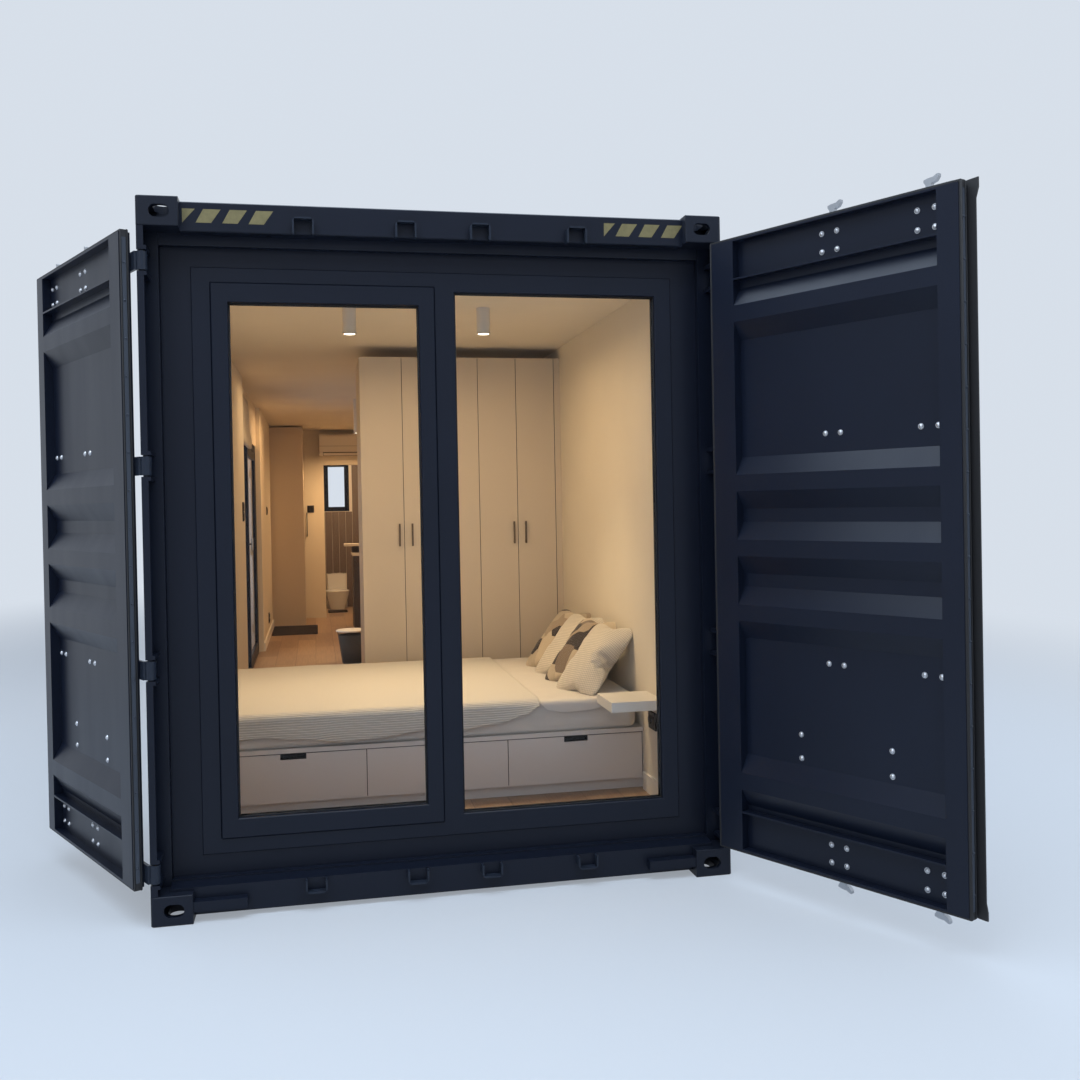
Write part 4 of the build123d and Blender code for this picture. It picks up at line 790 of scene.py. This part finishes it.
# Roman blind: a linen sheet over the side entrance's fixed light, drawn up into soft folds.
# It hangs from a rail under the ceiling.
blind_low, blind_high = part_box("roman_blind")
blind_wide, blind_drop = blind_high.y - blind_low.y, blind_high.z - blind_low.z
linen = woven_cloth("blind_linen", (0.62, 0.56, 0.46), 120, 0.0006)
blind_line = (
    (0.006, 0.453), (0.014, 0.36), (0.016, 0.24), (0.018, 0.17), (0.030, 0.125), (0.038, 0.08), (0.036, 0.035),
    (0.024, 0.012), (0.012, 0.030), (0.013, 0.075), (0.019, 0.110), (0.024, 0.070), (0.020, 0.034), (0.008, 0.020),
)
blind = bmesh.new()
profile = [blind.verts.new((blind_low.x + x, blind_low.y, blind_low.z + z)) for x, z in blind_line]
for first, second in zip(profile, profile[1:]):
    blind.edges.new((first, second))
swept = bmesh.ops.extrude_edge_only(blind, edges=blind.edges[:])["geom"]
bmesh.ops.translate(blind, verts=verts_among(swept), vec=(0, blind_wide, 0))
crosswise = [edge for edge in blind.edges if abs(edge.verts[0].co.y - edge.verts[1].co.y) > 0.5]
bmesh.ops.subdivide_edges(blind, edges=crosswise, cuts=24, use_grid_fill=True)
for vert in blind.verts:
    hang = 1 - (vert.co.z - blind_low.z) / blind_drop
    vert.co.x += 0.003 * hang * wander(vert.co.y * 3.1, vert.co.z * 4, 9)
map_cloth(blind, lambda co: co.y, lambda co: co.z + co.x)
blind_piece = finish_piece(blind, "blind_cloth", linen, smooth=80)
soften(blind_piece, "soft_folds")
give_thickness(blind_piece, 0.0015)
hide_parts("roman_blind")

# Ceiling lamps: short white metal tubes with a bevelled rim and a bright lens, each with a beam of warm light.
# Two hang before the bed and a longer one over the room behind.
coat(("ceiling_lamps",), matt_board("lamp_enamel", (0.72, 0.68, 0.62), 0.4, 60, 0.05))
lamp_rim_paint = matt_board("lamp_rim_enamel", (0.60, 0.56, 0.50), 0.35, 60, 0.05)
lens_glow = new_material("lamp_lens")[0]
dress(lens_glow, {
    "Base Color": (1, 0.95, 0.85, 1), "Emission Color": (1, 0.87, 0.66, 1), "Emission Strength": 5})
lamp_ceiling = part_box("ceiling_lamps")[1].z
rims = bmesh.new()
lenses = bmesh.new()
for number, (lamp_x, lamp_y, lamp_tall) in enumerate((
    (-0.350, front_y + 1.350, 0.137), (0.360, front_y + 1.290, 0.137), (-0.126, front_y + 6.200, 0.330),
)):
    lamp_end = lamp_ceiling - lamp_tall
    rim = add_drum(rims, (lamp_x, lamp_y, lamp_end), 0.0375, 0.0375, 0.008, 32)
    under = [face for face in {face for vert in rim for face in vert.link_faces} if face.normal.z < -0.9]
    bmesh.ops.inset_region(rims, faces=under, thickness=0.006)
    bmesh.ops.translate(rims, verts=list({vert for face in under for vert in face.verts}), vec=(0, 0, 0.003))
    add_ball(lenses, (lamp_x, lamp_y, lamp_end - 0.0014), 0.030, 24, 10, squash=(1, 1, 0.09))
    beam = add_lamp("lamp_beam_%d" % number, "SPOT", (lamp_x, lamp_y, lamp_end - 0.012), 52, (1, 0.78, 0.47))
    beam.data.spot_size = math.radians(84)
    beam.data.spot_blend = 0.8
    beam.data.shadow_soft_size = 0.03
finish_piece(rims, "lamp_rims", lamp_rim_paint, smooth=40)
finish_piece(lenses, "lamp_lenses", lens_glow, smooth=80)
for number, (glow_x, glow_y, glow_z, power, size, tint) in enumerate((
    (-0.1, 1.4, 2.565, 17, 1.4, (1, 0.70, 0.38)),
    (-0.35, 4.4, 2.66, 12, 1.0, (1, 0.66, 0.34)),
    (-0.3, 7.0, 2.66, 20, 1.2, (1, 0.58, 0.26)),
    (-0.1, 9.75, 2.34, 17, 0.3, (1, 0.62, 0.30)),
    (0.0, 11.1, 2.60, 13, 0.8, (1, 0.72, 0.46)),
)):
    glow = add_lamp("room_glow_%d" % number, "AREA", (glow_x, front_y + glow_y, glow_z), power, tint, size)
    glow.visible_glossy = False

# Air conditioner: a white moulded wall unit over the bathroom doorway, with a hinged vane over its outlet.
# A fine seam runs along its front where the cover lifts.
appliance_white = matt_board("white_plastic", (0.78, 0.75, 0.70), 0.35, 60, 0.03, mottle=0.01)
coat(("air_conditioner",), appliance_white)
black_plastic = matt_board("black_plastic", (0.016, 0.015, 0.015), 0.45, 500, 0.25, mottle=0.1)
cooler_low, cooler_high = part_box("air_conditioner")
outlet_place = Matrix.Translation((0, cooler_low.y + 0.0140, cooler_low.z + 0.0140)) @ Matrix.Rotation(
    math.radians(-45), 4, "X")
outlet = bmesh.new()
add_block(outlet, (cooler_low.x + 0.05, -0.032, -0.004), (cooler_high.x - 0.05, 0.032, 0.003), 0.002)
outlet.transform(outlet_place)
add_block(
    outlet, (cooler_low.x + 0.004, cooler_low.y - 0.0006, cooler_low.z + 0.118),
    (cooler_high.x - 0.004, cooler_low.y + 0.002, cooler_low.z + 0.121))
finish_piece(outlet, "air_conditioner_outlet", black_plastic, smooth=40)
vane = bmesh.new()
add_block(vane, (cooler_low.x + 0.055, -0.023, -0.007), (cooler_high.x - 0.055, 0.023, -0.003), 0.0018)
vane.transform(outlet_place)
finish_piece(vane, "air_conditioner_vane", appliance_white, smooth=40)


# Switches and sockets: black plastic plates with rockers or round wells, screwed to the walls.
# A slim black towel bar stands beside the bathroom doorway.
def wall_plate(mesh, centre, out, wide, tall, rockers=(), wells=()):
    """One plate that faces along out, with rocker switches or socket wells at places on it."""
    before = set(mesh.verts)
    add_block(mesh, (-wide / 2, -0.010, -tall / 2), (wide / 2, 0, tall / 2), 0.003, 3)
    for across, height, rocker_wide, rocker_tall in rockers:
        add_block(
            mesh, (across - rocker_wide / 2, -0.0135, height - rocker_tall / 2),
            (across + rocker_wide / 2, -0.008, height + rocker_tall / 2), 0.0015)
    for across, height in wells:
        add_drum(mesh, (across, -0.0115, height), 0.0235, 0.0215, 0.007, 24, across_to_y.inverted())
    turn = Vector((0, -1, 0)).rotation_difference(Vector(out)).to_matrix().to_4x4()
    moved = [vert for vert in mesh.verts if vert not in before]
    bmesh.ops.transform(mesh, matrix=Matrix.Translation(centre) @ turn, verts=moved)


partition_face = front_y + 10.5
high_rockers = ((0, 0.035, 0.06, 0.06), (0, -0.035, 0.06, 0.06))
side_rockers = ((-0.021, 0, 0.038, 0.068), (0.021, 0, 0.038, 0.068))
plates = bmesh.new()
wall_plate(plates, (-room_wall, front_y + 4.21, 1.635), (1, 0, 0), 0.086, 0.150, rockers=high_rockers)
wall_plate(plates, (-room_wall, front_y + 8.40, 1.635), (1, 0, 0), 0.086, 0.096, rockers=side_rockers)
wall_plate(plates, (-room_wall, front_y + 8.40, 0.395), (1, 0, 0), 0.086, 0.120, wells=((0, 0.028), (0, -0.028)))
wall_plate(plates, (-0.6065, partition_face, 1.646), (0, -1, 0), 0.089, 0.096, rockers=side_rockers)
wall_plate(plates, (room_wall, front_y + 0.727, 0.548), (-1, 0, 0), 0.115, 0.089, wells=((-0.027, 0), (0.027, 0)))
finish_piece(plates, "switches_and_sockets", black_plastic, smooth=40)
towel_x = -0.658
towel_bar = bmesh.new()
add_drum(towel_bar, (towel_x, partition_face - 0.035, 1.437), 0.006, 0.006, 0.324, 14)
for height in (1.295, 1.579):
    add_drum(towel_bar, (towel_x, partition_face - 0.0175, height), 0.005, 0.009, 0.036, 12, across_to_y)
finish_piece(towel_bar, "towel_bar", black_plastic, smooth=40)

# Kitchen counter: a dark laminate carcass under a light worktop, with a light raised bar on an upstand.
# Only its near end shows past the wardrobe.
worktop_low, worktop_high, bar_low = 1.0618, 1.0905, 1.1718
counter_laminate = matt_board("counter_laminate", (0.060, 0.045, 0.038), 0.45, 70, 0.1, mottle=0.1)
for limits in (((2, ">", worktop_low), (2, "<", worktop_high)), ((2, ">", bar_low),)):
    repaint_where(counter_laminate, limits, (0.72, 0.68, 0.60))
coat(("kitchen_counter",), counter_laminate)

# Side table: a thin white lacquered disc on a tapered basket of dark grey wire.
# The basket is a ring of uprights and hoops, welded, on a solid foot.
table_x, table_y = -0.228, front_y + 6.010
floor_level = 0.165
disc_low, disc_high, foot_tall = 0.470, 0.485, 0.006
bag_tall = 0.262


def over_foot(height):
    return (table_x, table_y, height)


table_disc = bmesh.new()
add_drum(table_disc, over_foot((disc_low + disc_high) / 2), 0.148, 0.148, disc_high - disc_low, 48)
round_edges(table_disc, [edge for edge in table_disc.edges if rise(edge) < 1e-6], 0.004, 3)
disc_piece = finish_piece(table_disc, "side_table_disc", white_lacquer, smooth=40)
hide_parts("side_table")
grey_wire = satin_paint("grey_wire", (0.085, 0.085, 0.09), 0.45, worn=0.1)
basket = bmesh.new()
basket_tall = disc_low - floor_level - foot_tall
add_drum(basket, over_foot((disc_low + floor_level + foot_tall) / 2), 0.092, 0.135, basket_tall, 36, ends=False)
staves = [edge for edge in basket.edges if rise(edge) > 0.1]
bmesh.ops.subdivide_edges(basket, edges=staves, cuts=13, use_grid_fill=True)
bmesh.ops.wireframe(basket, faces=basket.faces[:], thickness=0.0032, use_replace=True, use_boundary=True)
add_drum(basket, over_foot(floor_level + 0.004), 0.090, 0.094, 0.008, 36)
finish_piece(basket, "side_table_basket", grey_wire, smooth=30)
basket_bag = bmesh.new()
add_drum(basket_bag, over_foot(floor_level + 0.142), 0.086, 0.125, bag_tall, 36, ends=False)
bag_cloth = woven_cloth("grey_bag_cloth", (0.12, 0.115, 0.105), 60, 0.001, sheen=0.05)
map_cloth(basket_bag, lambda co: math.atan2(co.y - table_y, co.x - table_x) * 0.11, lambda co: co.z)
bag_piece = finish_piece(basket_bag, "side_table_bag", bag_cloth, smooth=60)
give_thickness(bag_piece, 0.0015)

# Toilet: white glazed ceramic with a lid on its pan and a steel flush plate on the boxed cistern.
# Brown-grey boards line the wall behind it up to the window.
ceramic = matt_board("white_ceramic", (0.76, 0.74, 0.70), 0.14, 40, 0.02, mottle=0.01)
coat(("toilet",), ceramic)
toilet_low, toilet_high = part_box("toilet")
pan_x, pan_y, pan_top, pan_half = -0.250, toilet_low.y + 0.175, 0.415, 0.14
toilet_lid = bmesh.new()
add_drum(toilet_lid, (pan_x, pan_y, pan_top + 0.0135), 0.176, 0.176, 0.026, 40)
round_edges(toilet_lid, [edge for edge in toilet_lid.edges if rise(edge) < 1e-6], 0.009, 4)
for hinge_x in (pan_x - 0.07, pan_x + 0.07):
    add_block(
        toilet_lid, (hinge_x - 0.012, pan_y + 0.135, pan_top - 0.001),
        (hinge_x + 0.012, pan_y + 0.156, pan_top + 0.03), 0.004, 3)
finish_piece(toilet_lid, "toilet_lid", ceramic, smooth=40)
flush_plate = bmesh.new()
for middle_x, half_wide, inset, low_lift, high_lift in (
    (pan_x, 0.08, 0, -0.001, 0.004), (pan_x - 0.038, 0.028, 0.009, 0.003, 0.007),
    (pan_x + 0.038, 0.028, 0.009, 0.003, 0.007),
):
    add_block(
        flush_plate, (middle_x - half_wide, toilet_high.y - 0.085 + inset, toilet_high.z + low_lift),
        (middle_x + half_wide, toilet_high.y - 0.025 - inset, toilet_high.z + high_lift), 0.0015)
finish_piece(flush_plate, "flush_plate", satin_steel, smooth=40)
wall_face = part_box("laminate_floor")[1].y + 0.001
board_wide, board_step = 0.096, 0.1
bath_board_finish = matt_board("bath_board_laminate", (0.17, 0.125, 0.095), 0.4, 70, 0.2, mottle=0.25)
bath_boards = bmesh.new()
board_x = -0.60
while board_x < 0.55:
    over_cistern = board_x + board_wide > pan_x - pan_half and board_x < pan_x + pan_half
    low_z = 0.677 if over_cistern else 0.1655
    high_z = 2.44 if board_x > -0.04 else 1.597
    add_block(
        bath_boards, (board_x, wall_face - 0.007, low_z), (board_x + board_wide, wall_face + 0.001, high_z), 0.0015)
    board_x += board_step
finish_piece(bath_boards, "bath_wall_boards", bath_board_finish, smooth=40)

# Floor mats: a dark brown coir mat before the tall cabinet, and a thick dark cotton one in the bathroom.
# They lie loose on the floor, their corners a little round and their surface uneven.
coir = woven_cloth("dark_coir", (0.026, 0.018, 0.015), 70, 0.0018, mottle=0.3, sheen=0.0)


def floor_mat(name, x0, x1, y0, y1, thick):
    mat = bmesh.new()
    bmesh.ops.create_grid(mat, x_segments=24, y_segments=36, size=0.5)
    for vert in mat.verts:
        u, v = vert.co.x * 2, vert.co.y * 2
        drawn_in = 1 - 0.25 * max(0, abs(u) + abs(v) - 1.93)
        vert.co.x = (x0 + x1) / 2 + u * (x1 - x0) / 2 * drawn_in
        vert.co.y = (y0 + y1) / 2 + v * (y1 - y0) / 2 * drawn_in
        vert.co.z = floor_level + thick / 2 + 0.0006 + 0.0008 * noise.noise(vert.co * 12)
    map_cloth(mat, lambda co: co.x, lambda co: co.y)
    piece = finish_piece(mat, name, coir, smooth=70)
    give_thickness(piece, thick - 0.001, "pile")
    return piece


hall_mat = floor_mat("hall_mat", -1.080, -0.545, front_y + 8.560, front_y + 9.560, 0.006)
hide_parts("floor_mats")
bath_mat = floor_mat("bath_mat", -0.395, -0.120, front_y + 11.150, front_y + 11.450, 0.012)
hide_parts("floor_mats")
